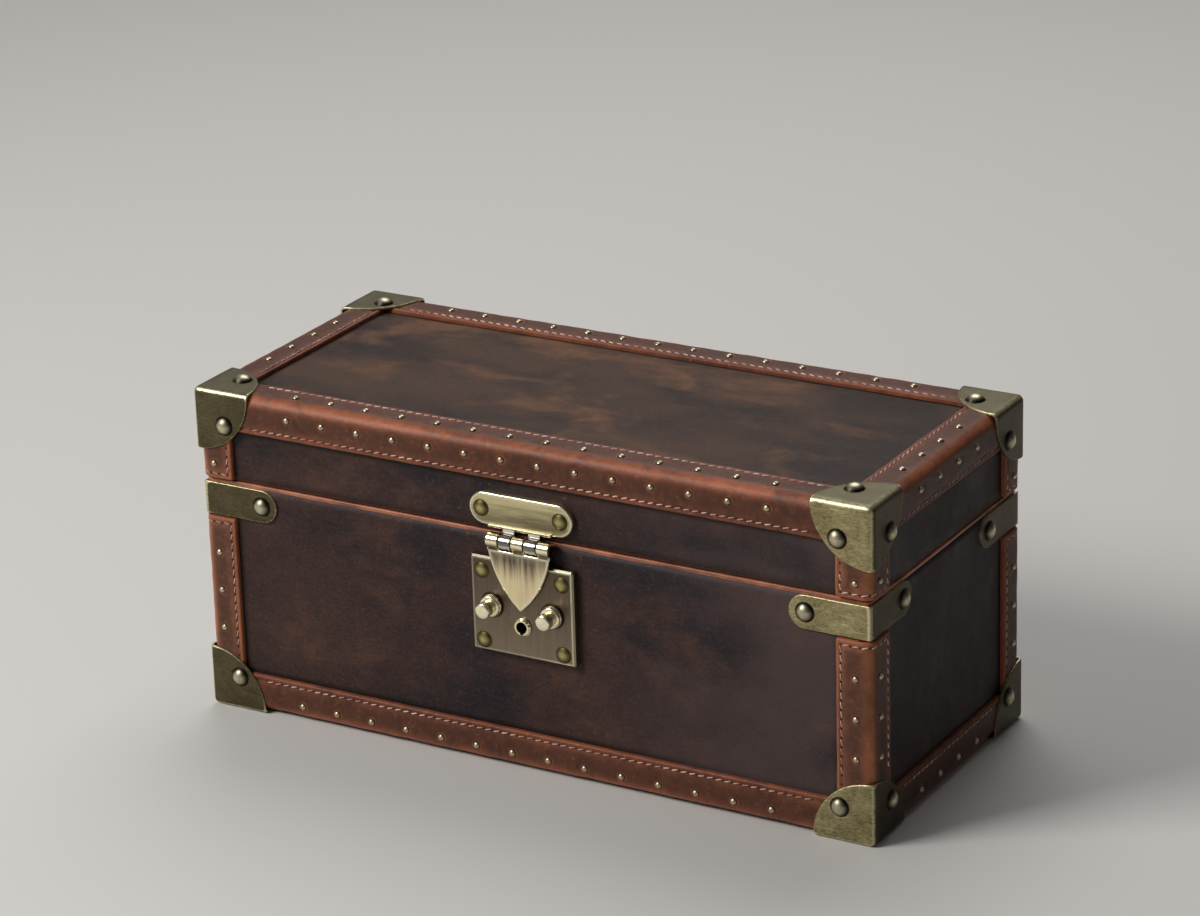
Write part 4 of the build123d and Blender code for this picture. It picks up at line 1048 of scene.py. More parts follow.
tacks("lid_tack_heads", [
    (tack_row(long_row, -case_y, case_top - FACE_TACK, front), "y"),
    (tack_row(long_row, -case_y + TOP_TACK, case_top, top), "y"),
    (tack_row(case_x, short_row, case_top - FACE_TACK, side_out), "x"),
    (tack_row(case_x - TOP_TACK, short_row, case_top, top), "x"),
    (tack_row(case_x - POST_TACK, -case_y, lid_post_tack, front), "xy"),
    (tack_row(case_x, -case_y + POST_TACK, lid_post_tack, side_out), "xy")], "lid", "lid_tacks")
tacks("base_tack_heads", [
    (tack_row(long_row, -case_y, case_low + FOOT_TACK, front), "y"),
    (tack_row(case_x, short_row, case_low + FOOT_TACK, side_out), "x"),
    (tack_row(case_x - POST_TACK, -case_y, base_post_tacks, front), "xy"),
    (tack_row(case_x, -case_y + POST_TACK, base_post_tacks, side_out), "xy")], "base", "base_tacks")

# %% [markdown]
# The panels are sheets of the dark leather, glued to the boards. They aren't quite flat, so each sheet is
# a grid that moves in and out by a tenth of a millimetre, and Solidify gives it its thickness. The front
# sheet of the base has a window behind the lock plate, where the lock's case goes through.


# %% Sheets of leather
LEATHER_THICK = 1.2
SHEET_PITCH = 3.5
UPRIGHT = (0, 0, 1)


def sheet(corner, across, upward, width, height, wave, seed, window=None, cut=False):
    """Point = corner + u across + v upward + ripple outwards. Columns run across, so that the faces look
    along across x upward. A window drops the faces inside it; cut marks the distance to the lower edge."""
    across, upward = np.array(across, float), np.array(upward, float)
    out = np.cross(across, upward)
    u, v = (np.linspace(0, size, int(size / SHEET_PITCH)) for size in (width, height))
    if window is not None:
        u = np.unique(np.concatenate([u, window[0]]))
        v = np.unique(np.concatenate([v, window[1]]))
    u, v = np.meshgrid(u, v)
    move = wave * ripple(u, v, 34, seed)
    points = (np.array(corner, float) + MIDDLE + u[..., None] * across + v[..., None] * upward
              + move[..., None] * out)
    part = grid(points, edge=v if cut else np.full_like(v, FAR))
    if window is not None:
        middles = [values.reshape(-1)[part["faces"]].mean(1) for values in (u, v)]
        inside = np.all([(low < middle) & (middle < high) for middle, (low, high) in zip(middles, window)], 0)
        part["faces"] = part["faces"][~inside]
    return part


def sheet_piece(name, parts, finish, body, stands_for):
    """A piece of open sheets that Solidify thickens away from the side they face."""
    made = dressed(mesh_of(name, joined(parts)), finish, body, [stands_for])
    solid = made.modifiers.new("thickness", "SOLIDIFY")
    solid.thickness, solid.offset = LEATHER_THICK * MM, -1.0


print("columns in 100 mm of sheet:", int(100 / SHEET_PITCH))


# %% Panels of the base and the lid
panel_low, wall_top, panel_top = 3.0, 102.4, 141.6
side_y = panel_y - LEATHER_THICK
FLAT_X, FLAT_Y = 153.8, 65.8
base_height, lid_height = wall_top - panel_low, panel_top - lid_low
pocket = ((panel_x - 14.2, panel_x + 14.2), (lock_low + 7.8 - panel_low, lock_low + 32.2 - panel_low))


def wall_sheets(low, height, seed, window=None, cut=False):
    """Front, back, right and left sheets of the base or the lid, each facing outwards."""
    walls = [((-panel_x, -panel_y, low), (1, 0, 0), panel_x), ((panel_x, panel_y, low), (-1, 0, 0), panel_x),
             ((panel_x, -side_y, low), (0, 1, 0), side_y), ((-panel_x, side_y, low), (0, -1, 0), side_y)]
    windows = (window, None, None, None)
    return [sheet(corner, across, UPRIGHT, 2 * half, height, 0.10, seed + number, windows[number], cut)
            for number, (corner, across, half) in enumerate(walls)]


base_front, base_back, *base_sides = wall_sheets(panel_low, base_height, 81, pocket)
base_under = sheet((FLAT_X, -FLAT_Y, panel_low), (-1, 0, 0), (0, 1, 0), 2 * FLAT_X, 2 * FLAT_Y, 0.05, 86)
lid_top = sheet((-FLAT_X, -FLAT_Y, panel_top), (1, 0, 0), (0, 1, 0), 2 * FLAT_X, 2 * FLAT_Y, 0.14, 96)
sheet_piece("base_front_leather", [base_front], wall_leather, "base", "base_front_panel")
sheet_piece("base_back_leather", [base_back], wall_leather, "base", "base_back_panel")
sheet_piece("base_side_leather", base_sides, wall_leather, "base", "base_side_panels")
sheet_piece("base_underside_leather", [base_under], wall_leather, "base", "base_underside_panel")
sheet_piece("lid_wall_leather", wall_sheets(lid_low, lid_height, 91, cut=True), wall_leather, "lid",
            "lid_wall_panels")
sheet_piece("lid_top_leather", [lid_top], top_leather, "lid", "lid_top_panel")

# %% [markdown]
# The top of the base walls is bound with a narrow band of orange-brown leather, which shows as a bright
# line under the seam. Its section, a low arch, is carried round a rectangle with small round corners.

# %% Leather rim under the seam
rim = Finish("rim_leather")
rim_cloud = rim.noise(14, 3.0, 0.6).step(0.3, 0.7)
rim.surface(Base_Color=rim.coats((118, 66, 44), (rim_cloud, (176, 104, 70))), Roughness=0.42,
            Normal=rim.bump(rim.noise(1.2, 3.0, 0.6), 0.06))
LINED_X, LINED_Y = 146.8, 58.8
RIM_CORNER = 1.5


def band_path(half_x, half_y, radius):
    """Points and outward directions round a rectangle with round corners."""
    angle = (np.arange(4)[:, None] * math.pi / 2 + np.linspace(0, math.pi / 2, 7)).reshape(-1)
    signs = np.repeat([(1, 1), (-1, 1), (-1, -1), (1, -1)], 7, 0)
    return signs * [half_x - radius, half_y - radius], np.stack([np.cos(angle), np.sin(angle)], 1)


def rim_band():
    """Section: out over a rounded outer edge, across the top, and down the inside."""
    middles, ways = band_path(panel_x, panel_y, RIM_CORNER)
    arch = np.linspace(0, math.pi / 2, 6)
    reach = np.concatenate([[RIM_CORNER], RIM_CORNER - 0.75 + (0.75 + 0.25) * np.cos(arch), [0, 0]])
    level = wall_top + np.concatenate([[-0.3], 0.85 + 0.75 * np.sin(arch), [base_top - wall_top, -0.3]])
    flat = middles[None] + reach[:, None, None] * ways[None]
    flat[-2:] = np.sign(middles) * [LINED_X, LINED_Y]
    points = np.concatenate([flat, np.broadcast_to(level[:, None, None], (*flat.shape[:2], 1))], -1)
    return grid(points + MIDDLE, round_columns=True, round_rows=True)


piece("base_rim_band", [rim_band()], rim.material, "base", ["base_rim_binding"], 50)

# %% [markdown]
# The lock is the part that catches the eye. Its plates are brushed: fine scratches all run one way, which
# stretched noise draws. Their bevelled rims are lighter, partly polished by use and partly a painted
# highlight, and the hasp and the flap carry painted shading from top to bottom. The hasp turns on a barrel
# of five polished knuckles, whose darker bands are painted reflections. Plates are made from their
# outlines: each row of the grid is the outline again, moved inwards by an inset and out from the wall by a
# height, until the last one shrinks to the middle.


# %% Brushed and polished finishes

def brushed(name, dark, light, bright, stretch, tone, rim, streaks=0.3, shade_and_dirt=None):
    """Brushed brass: tone(finish) runs from dark to light over the piece, rim(finish) is lighter, partly
    rubbed bright and partly a painted highlight, and a last, optional mark is nearly black, as painted shadow
    and dirt."""
    finish = Finish(name)
    along = finish.stretched(*stretch)
    fine = finish.noise(0.32, 3.0, 0.6, along).step(0.3, 0.7)
    broad = finish.noise(1.9, 3.0, 0.6, along).step(0.34, 0.66)
    spots = finish.noise(1.2, 4.0, 0.7).step(0.55, 0.75)
    share = (tone(finish) * (1 - streaks) + broad * streaks + (fine - 0.5) * 0.14).step(-0.05, 1.05)
    polish_and_highlight = rim(finish)
    last = [(shade_and_dirt(finish) * 0.85, (24, 20, 16))] if shade_and_dirt else []
    base = finish.coats(dark, (share, light), (spots * 0.18, dark), (polish_and_highlight * 0.85, bright), *last)
    rough = 0.36 - polish_and_highlight * 0.14 + fine * 0.06
    return finish.surface(Base_Color=base, Metallic=1.0, Roughness=rough, Normal=finish.bump(fine, 0.008))


def polished(name, tint, dull, rough):
    """Polished metal with a few dull spots."""
    finish = Finish(name)
    cloud = finish.noise(2.5, 4.0, 0.65).step(0.45, 0.75)
    fine = finish.noise(0.4, 2.0, 0.5, finish.stretched(6, 1, 1)).step(0.3, 0.7)
    return finish.surface(Base_Color=finish.coats(tint, (cloud * 0.5 + fine * 0.12, dull)), Metallic=1.0,
                          Roughness=rough + cloud * 0.12, Normal=finish.bump(fine, 0.004))


def banded(name, tint, dull, bands):
    """Polished metal with painted reflections: darker bands along the case, each given by its height and half
    its width.
    """
    finish = Finish(name)
    level = finish.axis(2) + (finish.noise(2.0, 2.0, 0.5, finish.stretched(4, 1, 1)) - 0.5) * 0.8
    dark = abs(level - bands[0][0]).step(bands[0][1] * 1.6, bands[0][1] * 0.5)
    for middle, half in bands[1:]:
        dark = dark.most(abs(level - middle).step(half * 1.6, half * 0.5))
    return finish.surface(Base_Color=finish.coats(tint, (dark * 0.8, dull)), Metallic=1.0,
                          Roughness=0.17 + dark * 0.06)


def rim_wear_and_highlight(finish):
    """Where the mesh's own mark says that the rim is: partly rubbed bright, partly a painted highlight."""
    return finish.mark("wear")


def bevel(finish):
    """A painted highlight: 1 on the line where the face of the lock plate meets its bevel, lower on the bevel
    itself, and stronger towards the right.
    """
    x, z = finish.axis(0), finish.axis(2)
    inward = (LOCK_HALF - abs(x)).least(z - lock_low).least(lock_high - z)
    return inward.step(1.7, 1.0) * (0.3 + inward.step(0.4, 0.9) * 0.45) * (0.45 + x.step(0, 22) * 0.55)


def shield_shading(finish):
    """Painted shading: dark at the top of the flap and light below, with a streaky edge between them."""
    streak = finish.noise(2.6, 2.0, 0.5, finish.stretched(1, 1, 30))
    return (finish.axis(2) + (streak - 0.5) * 16).step(99, 82)


def stud_feet(finish):
    """A dark ring on the plate round the foot of each stud, as painted shadow and dirt."""
    reach = ((abs(finish.axis(0)) - STUD_X) ** 2 + (finish.axis(2) - stud_z) ** 2) ** 0.5
    return reach.step(6.1, 5.0)


LOCK_HALF, STUD_X, stud_z = 24.1, 14.2, lock_low + 21.0
# on the lock plate the rim mark is a painted highlight, and the ring round each stud's foot is painted shadow
# and dirt
plate_brass = brushed("lock_plate_brass", (94, 82, 70), (150, 137, 116), (236, 228, 192), (1, 1, 14),
                      lambda f: (lock_high - f.axis(2)) / 60, bevel, 0.1, stud_feet)
# the hasp plate is lighter towards its top: painted shading
hasp_brass = brushed("hasp_brass", (112, 102, 80), (214, 202, 156), (240, 232, 196), (14, 1, 1),
                     lambda f: (f.axis(2) - 108) / 13, rim_wear_and_highlight)
flap_brass = brushed("flap_brass", (82, 72, 62), (242, 223, 180), (250, 242, 208), (1, 1, 20),
                     shield_shading, rim_wear_and_highlight, 0.2)
bright_brass = polished("bright_brass", (246, 232, 192), (176, 158, 116), 0.16)
stud_brass = polished("stud_brass", (255, 246, 214), (214, 196, 150), 0.24)
# the darker bands on the knuckles, and on the tabs below the lip, are painted reflections and shade
gold_knuckle = banded("knuckle_brass", (248, 236, 196), (150, 124, 78), [(99.3, 1.4)])
silver_knuckle = banded("knuckle_silver", (232, 228, 216), (58, 54, 52),
                        [(104.4, 0.8), (101.9, 0.9), (98.9, 0.7)])
dark_steel_and_shade = polished("dark_steel_and_shade", (34, 30, 28), (18, 15, 14), 0.4)
grey_steel = polished("grey_steel", (150, 150, 150), (96, 94, 92), 0.32)
print("lock finishes")


# %% Outlines and plaques
def arc_points(centre, radius, first, last, count):
    """Points of an arc: the centre plus radius times (cos, sin), from the first angle to the last."""
    angle = np.linspace(first, last, count)
    return np.array(centre) + radius * np.stack([np.cos(angle), np.sin(angle)], 1)


def slot_outline(half_x, half_z, count=14):
    """A bar with round ends, with points along its straight sides, anticlockwise seen from the front."""
    flat = half_x - half_z
    side = np.linspace(-flat, flat, 12)[1:-1]
    low_side = np.stack([side, np.full(10, -half_z)], 1)
    return np.concatenate([arc_points((flat, 0), half_z, -math.pi / 2, math.pi / 2, count),
                           low_side[::-1] * [1, -1],
                           arc_points((-flat, 0), half_z, math.pi / 2, 1.5 * math.pi, count), low_side])


def box_outline(half_x, half_z, radius=0.25):
    """A rectangle with small round corners, anticlockwise from the lower right."""
    corners = [(half_x - radius, radius - half_z), (half_x - radius, half_z - radius),
               (radius - half_x, half_z - radius), (radius - half_x, radius - half_z)]
    return np.concatenate([arc_points(corner, radius, (k - 1) * math.pi / 2, k * math.pi / 2, 4)
                           for k, corner in enumerate(corners)])


def plaque(outline, place, thick, roll, spine=None):
    """Rows: back, side, a quarter-round rim of radius roll, and then the face, which shrinks to the middle
    or, with a spine given, to a line that reaches so far to both sides of it. A point's inward move is
    (m + n) / (1 + m . n) for the normals m and n of the two edges that meet in it. The mark for wear and
    painted highlight is high at the rim."""
    edge = np.roll(outline, -1, 0) - outline
    after = np.stack([-edge[:, 1], edge[:, 0]], 1) / np.linalg.norm(edge, axis=1, keepdims=True)
    before = np.roll(after, 1, 0)
    inward = (before + after) / (1 + (before * after).sum(1, keepdims=True))
    turn = np.linspace(0, math.pi / 2, 5)
    inset = np.concatenate([[0], roll * (1 - np.cos(turn))])
    rows = outline[None] + inset[:, None, None] * inward[None]
    middle = outline.mean(0)
    shares = np.array([0.04, 0.1, 0.3, 0.6, 1.0])[:, None, None]
    goal = np.stack([np.clip(outline[:, 0], -spine, spine), 0 * outline[:, 0]], 1) if spine else middle
    face = rows[-1] + (goal - rows[-1]) * shares
    back = middle + (outline - middle) * np.array([0.0, 0.5])[:, None, None]
    flat = np.concatenate([back, rows, face])
    height = np.concatenate([[0, 0, 0], thick - roll + roll * np.sin(turn), np.full(5, thick)])
    wear = np.array([0, 0, 0.6, 0.8, 1, 1, 1, 0.9, 0.6, 0.15, 0, 0, 0])
    points = np.stack([flat[..., 0], np.broadcast_to(-height[:, None], flat.shape[:2]), flat[..., 1]], -1)
    return grid(points + np.array(place) + MIDDLE, round_columns=True, wear=wear[:, None])


def slab(x_span, y_span, z_span, roll=0.22):
    """A small plate with rounded front edges, between the two values given for each axis."""
    (x0, x1), (y0, y1), (z0, z1) = x_span, y_span, z_span
    outline = box_outline((x1 - x0) / 2, (z1 - z0) / 2)
    return plaque(outline, ((x0 + x1) / 2, y1, (z0 + z1) / 2), y1 - y0, roll)


print("points round a small plate:", len(box_outline(2, 2)))


# %% The barrel's knuckles and the hasp plate
barrel_y, barrel_z = panel_y + 3.6, 101.7
KNUCKLE_LENGTH, KNUCKLE_STEP = 5.5, 5.95
knuckle_starts = (np.arange(5) - 2) * KNUCKLE_STEP - KNUCKLE_LENGTH / 2
knuckle_end = [(1.4, 0), (2.7, 0), (2.95, 0.02), (3.14, 0.1), (3.2, 0.26), (3.2, 0.45)]
knuckle_profile = knuckle_end + [(radius, KNUCKLE_LENGTH - level) for radius, level in knuckle_end[::-1]]
knuckle_part = turned(knuckle_profile + knuckle_profile[:1], 48)


def knuckles(indices):
    """The knuckles with those numbers from the left, their axis along the case."""
    points = [(knuckle_starts[k], -barrel_y, barrel_z) for k in indices]
    return set_at(knuckle_part, points, [(1, 0, 0)] * len(points), [(0, 0, 1)] * len(points))


def span(index):
    return knuckle_starts[index], knuckle_starts[index] + KNUCKLE_LENGTH


HASP_HALF, HASP_ROUND = 24.1, 7.0
plate_part = plaque(slot_outline(HASP_HALF, HASP_ROUND), (0, -panel_y, hasp_z), HASP_THICK, 0.7,
                    spine=HASP_HALF - HASP_ROUND)
lip = slab((-14.7, 14.7), (-hasp_face - 1.4, -hasp_face + 1.0), (107.2, 108.2))
piece("hasp_brass_plate", [plate_part, lip], hasp_brass, "lid", ["hasp_plate"])
tabs = [slab(span(k), (-panel_y - 2.4, -panel_y - 0.4), (barrel_z + 0.5, 107.4)) for k in (1, 3)]
piece("hasp_plate_knuckles", [knuckles((1, 3)), *tabs], silver_knuckle, "lid")

# %% The flap
FLAP_HALF, FLAP_BACK, FLAP_THICK = 14.4, LOCK_FACE + 0.3, 1.5
flap_tip, flap_top = 72.8, barrel_z - 3.6


def shield_outline():
    """Two arcs from the tip to the shoulders, bulging 2.6 mm from the straight line, and a straight top.
    The radius of an arc over a chord c with a bulge h is (c * c / 4 + h * h) / (2 h)."""
    run = flap_top - flap_tip
    chord = math.hypot(FLAP_HALF, run)
    radius = (chord**2 / 4 + 2.6**2) / (2 * 2.6)
    away = np.array([-run, FLAP_HALF]) / chord
    centre = np.array([FLAP_HALF / 2, flap_tip + run / 2]) + away * (radius - 2.6)
    tip_angle, top_angle = (math.atan2(p[1] - centre[1], p[0] - centre[0])
                            for p in ((0, flap_tip), (FLAP_HALF, flap_top)))
    right_side = arc_points(centre, radius, tip_angle, top_angle, 26)
    top_side = np.stack([np.linspace(FLAP_HALF, -FLAP_HALF, 14)[1:-1], np.full(12, flap_top)], 1)
    return np.concatenate([right_side, top_side, right_side[::-1][:-1] * [-1, 1]])


shield = plaque(shield_outline(), (0, -FLAP_BACK, 0), FLAP_THICK, 0.4)
flap_tabs = [slab(span(k), (-FLAP_BACK - FLAP_THICK, -FLAP_BACK), (flap_top - 0.6, barrel_z))
             for k in (0, 2, 4)]
piece("hasp_shield_flap", [shield, *flap_tabs], flap_brass, "hasp_flap_body", ["hasp_flap"])
piece("hasp_flap_knuckles", [knuckles((0, 2, 4))], gold_knuckle, "hasp_flap_body")

# %% [markdown]
# The two studs are turned from solid brass: a stepped collar, a thin neck and a thick round tip for the
# finger. Each rides on its own sliding body, so that it still moves. The plate, the keyhole and the parts
# behind them keep the imported shapes and only get their finishes. The keyhole ring is polished, and the
# plug inside it is nearly black, as painted shade which makes the hole look deep. The hasp's pin is nearly
# black too, as painted shade in the gaps between the knuckles.

# %% Studs, and finishes of the lock's own parts
shank = [(0, -3.6), (1.2, -3.6), (1.2, 0.2)]
collar = [(4.5, 0.2), (4.75, 0.3), (4.8, 0.5), (4.8, 1.3), (4.74, 1.5), (4.6, 1.6), (4.5, 2.4), (4.35, 2.7),
          (4.0, 2.85)]
neck = [(2.6, 2.95), (2.55, 3.5), (2.9, 3.65)]
tip = [(3.2, 3.8), (3.3, 4.0), (3.3, 7.9), (3.22, 8.3), (3.0, 8.55), (2.5, 8.7), (1.4, 8.79), (0, 8.8)]
stud_profile = shank + collar + neck + tip
stud = turned(stud_profile, 40)
for side, sign in (("left", -1), ("right", 1)):
    at_place = set_at(stud, [(sign * STUD_X, -LOCK_FACE, stud_z)], [front])
    piece(f"{side}_stud_knob", [at_place], stud_brass, f"{side}_stud_body",
          [f"{side}_stud"], 50)


def refinish(finish, *names):
    """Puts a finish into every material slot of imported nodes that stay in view."""
    for name in names:
        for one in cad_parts[name].material_slots:
            one.material = finish
    print(finish.name, "on", len(names), "nodes")


refinish(plate_brass, "lock_plate")
refinish(bright_brass, "keyhole_ring", "hinge_pins")
# nearly black plug and pin: painted shade in the keyhole and in the gaps between the knuckles
refinish(dark_steel_and_shade, "lock_plug", "lock_case", "hasp_pin")
refinish(grey_steel, "left_bolt", "right_bolt", "hasp_catch")

# %% [markdown]
# At the back two hinges carry the lid. Their leaves are brushed brass and stay as packed. Each leaf is
# held by three countersunk screws, whose heads are low caps with a dark slot, turned each its own way. The
# caps carry painted shading, and the slot is a dark strip of painted shade.

# %% Hinges and their screws
hinge_x, hinge_z = 95.0, 104.3
hinge_brass = brushed("hinge_brass", (120, 108, 78), (182, 170, 124), (232, 224, 186), (10, 1, 1),
                      lambda f: f.noise(9, 2.0, 0.5), lambda f: abs(f.axis(2) - hinge_z).step(4.0, 1.5))
refinish(hinge_brass, "hinge_base_leaves", "hinge_lid_leaves")
screw_profile = np.concatenate([[(2.15, -0.1)], dome(2.1, 0.45, 6)])
# the mark paints shading on each screw head: dark at the foot, light at the crown
screw_cap = turned(screw_profile, 20, wear=[0.0, 0.2, 0.5, 0.8, 1, 1, 1])
# painted shade: a dark strip across each head stands for its slot
slot_along, slot_across = np.meshgrid(np.linspace(-1.7, 1.7, 8), [-0.24, 0.24, 0.24, -0.24])
slot_height = 0.47 - 0.10 * slot_along**2 - np.array([0.0, 0.0, 0.2, 0.2])[:, None]
slot_shade = grid(np.stack([slot_along, slot_across, slot_height], -1), round_rows=True)
LEAF_FACE = panel_y + 0.1 + 1.2
SCREW_LEVEL = 11.5


def screws(body, level, seed):
    """Three screws in each hinge's leaf at that level, as heads and as the slots across them."""
    dice = np.random.default_rng(seed)
    points = [(sign * (hinge_x + dx), LEAF_FACE, level) for sign in (-1, 1) for dx in (-12, 0, 12)]
    normals = [(0, 1, 0)] * len(points)
    angle = dice.uniform(0, math.pi, len(points))
    along = np.stack([np.cos(angle), 0 * angle, np.sin(angle)], 1)
    piece(f"{body}_hinge_screws", [set_at(screw_cap, points, normals, along)], olive_brass, body)
    piece(f"{body}_hinge_screw_slots", [set_at(slot_shade, points, normals, along)], dark_steel_and_shade, body)


screws("lid", hinge_z + SCREW_LEVEL, 201)
screws("base", hinge_z - SCREW_LEVEL, 202)

# %% [markdown]
# The boards are thin plywood. They show only as narrow edges when the lid is open, and there the layers
# show. Layers lie across a board's thickness, so each finish draws stripes along that one axis: on the
# faces the axis is constant and no stripe shows. Long grain runs along the board.

# %% Plywood
def plywood(name, across, stretch):
    """Birch plywood: layers 1.2 mm thick across the board, and stretched noise for the grain."""
    finish = Finish(name)
    layer = finish.axis(across).part(1.2).step(0.35, 0.85)
    grain = finish.noise(3.5, 4.0, 0.6, finish.stretched(*stretch)).step(0.3, 0.72)
    pores = finish.noise(0.7, 3.0, 0.6, finish.stretched(*stretch)).step(0.55, 0.75)
    base = finish.coats((206, 176, 134), (grain, (182, 146, 104)), (layer * 0.45, (138, 102, 70)),
                        (pores * 0.3, (120, 86, 58)))
    return finish.surface(Base_Color=base, Roughness=0.6 + grain * 0.1,
                          Normal=finish.bump(pores + layer * 0.5, 0.05))


refinish(plywood("plywood_flat", 2, (12, 1, 1)), "base_floor_board", "lid_top_board")
refinish(plywood("plywood_long_walls", 1, (12, 1, 1)), "base_front_board", "base_back_board",
         "lid_front_board", "lid_back_board")
refinish(plywood("plywood_short_walls", 0, (1, 12, 1)), "base_left_board", "base_right_board",
         "lid_left_board", "lid_right_board")

# %% [markdown]
# Inside, everything is covered with tan microsuede. Its nap catches light at a glancing angle, which the
# sheen of the shader gives, and finger marks show as soft lighter and darker clouds.

# %% Suede
def suede(name, dark, light, nap):
    """Microsuede: clouds where the nap lies differently, and a very fine fibre relief."""
    finish = Finish(name)
    clouds = finish.noise(30, 4.0, 0.6, warp=0.8).step(0.35, 0.65)
    brushed_nap = finish.noise(7, 3.0, 0.6, finish.stretched(2.5, 1, 1)).step(0.3, 0.7)
    fibre = finish.noise(0.45, 3.0, 0.65).step(0.25, 0.75)
    base = finish.coats(dark, (clouds * 0.5 + brushed_nap * 0.3 + fibre * 0.2, light),
                        (finish.mark("seam") * 0.55, [value * 0.5 for value in dark]))
    return finish.surface(Base_Color=base, Roughness=0.86 + clouds * 0.08, Normal=finish.bump(fibre, nap),
                          Sheen_Weight=0.35, Sheen_Roughness=0.5, Sheen_Tint=colour(230, 205, 175))


lining_suede = suede("lining_suede", (104, 78, 58), (132, 102, 78), 0.05)
pad_suede = suede("pad_suede", (112, 84, 62), (142, 110, 84), 0.05)
cushion_suede = suede("cushion_suede", (150, 120, 92), (182, 150, 118), 0.06)
print("three suedes")


# %% Linings
def rings(rows, **ways_round):
    """A part from closed rings, each given as (half x, half y, corner radius, height)."""
    points = []
    for half_x, half_y, radius, level in rows:
        middles, ways = band_path(half_x, half_y, radius)
        points.append(np.insert(middles + radius * ways, 2, level, axis=1))
    return grid(np.stack(points) + MIDDLE, round_columns=True, **ways_round)


well_floor, floor_top, lid_board_low = 11.2, 10.2, 134.4
board_x, board_y = LINED_X + 1, LINED_Y + 1
bowl = [(LINED_X - 2 + 2 * math.sin(a), LINED_Y - 2 + 2 * math.sin(a), 2.5, well_floor + 2 - 2 * math.cos(a))
        for a in np.linspace(math.pi / 2, 0, 6)]
tray = ([(1, 1, 0.5, floor_top), (board_x, board_y, 0.3, floor_top), (board_x, board_y, 0.3, wall_top),
         (LINED_X, LINED_Y, 0.3, wall_top), (LINED_X, LINED_Y, 2.5, wall_top - 3)] + bowl
        + [(LINED_X * s, LINED_Y * s, 2.5 * s + 0.1, well_floor) for s in (0.75, 0.5, 0.25, 0.01)])
piece("base_suede_lining", [rings(tray)], lining_suede, "base", ["base_lining"], 60)
walls = [(board_x, board_y, 0.3, lid_low), (board_x, board_y, 0.3, lid_board_low),
         (LINED_X, LINED_Y, 0.3, lid_board_low), (LINED_X, LINED_Y, 0.3, lid_low + 0.3),
         (LINED_X + 0.3, LINED_Y + 0.3, 0.3, lid_low)]
piece("lid_suede_lining", [rings(walls, round_rows=True)], lining_suede, "lid", ["lid_lining"], 60)

# %% [markdown]
# The ceiling of the lid is a quilted pad. Its height over a point is a product of two sine waves that
# cross each other aslant, so that it swells to a cushion in each diamond and comes down to the board along
# the seams. The dividers are thin pads too, with a sewn line below their rounded tops.

# %% Quilted ceiling of the lid
PAD_THICK = 5.0
DIAMOND = 36.7
SEWN_SHARE, PUFF_SHARE = 0.35, 0.63
half_x, half_y = LINED_X - 0.3, LINED_Y - 0.3


def quilted_pad():
    """Thickness = 5 mm * edge * (0.35 + 0.63 |sin p sin q| ** 0.4), with p and q along the two diagonals."""
    u, v = np.meshgrid(np.linspace(-half_x, half_x, 190), np.linspace(-half_y, half_y, 76))
    p = math.pi * (u / DIAMOND + v / (DIAMOND * 0.8))
    q = math.pi * (u / DIAMOND - v / (DIAMOND * 0.8))
    wave = np.abs(np.sin(p) * np.sin(q))
    to_edge = np.minimum(half_x - np.abs(u), half_y - np.abs(v))
    edge = np.sqrt(np.clip(1 - (1 - np.clip(to_edge / 5, 0, 1)) ** 2, 0, 1))
    level = lid_board_low - PAD_THICK * (0.06 + 0.94 * edge) * (SEWN_SHARE + PUFF_SHARE * wave**0.4)
    seam = np.exp(-((np.minimum(np.abs(np.sin(p)), np.abs(np.sin(q))) / 0.05) ** 2))
    face = grid(np.stack([u, v, level], -1) + MIDDLE, seam=seam)
    low_rim = np.stack([np.concatenate([values[0], values[1:, -1], values[-1, ::-1][1:], values[::-1, 0][1:]])
                        for values in (u, v, level)], 1)
    high_rim = low_rim * [1, 1, 0] + [0, 0, lid_board_low]
    return [face, grid(np.stack([high_rim, low_rim]) + MIDDLE, seam=0.0)]


lid_pad = piece("lid_quilted_pad", quilted_pad(), pad_suede, "lid", ["lid_pad"], 60)

# %% Padded dividers
WELL_PITCH = 59.52


def padded_divider(x):
    """Section: up one side, over a rounded top, down the other; each side is drawn in along the seam."""
    height = np.concatenate([[11.2, 11.5], np.linspace(13, 76, 24), np.linspace(76.4, 79.4, 7)])
    arc = np.linspace(0, math.pi / 2, 7)
    side = np.concatenate([np.full(len(height), 2.0), 0.6 + 1.4 * np.cos(arc), [0.0]])
    level = np.concatenate([height, 79.8 + 1.4 * np.sin(arc), [81.2]])
    seam = np.exp(-(((level - 76.4) / 0.7) ** 2))
    side = side - 0.55 * seam - 0.25 * np.clip(1 - (level - 11.2) / 4, 0, 1)
    run = np.concatenate([[-58.7, -58.6], np.linspace(-57.8, 57.8, 72), [58.6, 58.7]])
    end = np.concatenate([[0.05, 0.75], np.ones(72), [0.75, 0.05]])
    swell = 1 - 0.10 * (1 + ripple(run[:, None], level[None, :], 22, int(x) + 400)) * (level < 75)
    half = side[None] * end[:, None] * swell
    points = [np.stack([sign * half, np.broadcast_to(run[:, None], half.shape),
                        np.broadcast_to(level[None], half.shape)], -1) for sign in (1, -1)]
    loop = np.concatenate([points[0], points[1][:, ::-1]], 1) + [x, 0, 0]
    seams = np.concatenate([seam, seam[::-1]])
    return grid(loop + MIDDLE, round_columns=True, seam=seams[None, :])


for number in range(1, 5):
    pad = piece(f"padded_divider_{number}", [padded_divider((number - 2.5) * WELL_PITCH)], pad_suede, "base",
                [f"divider_{number}"], 60)

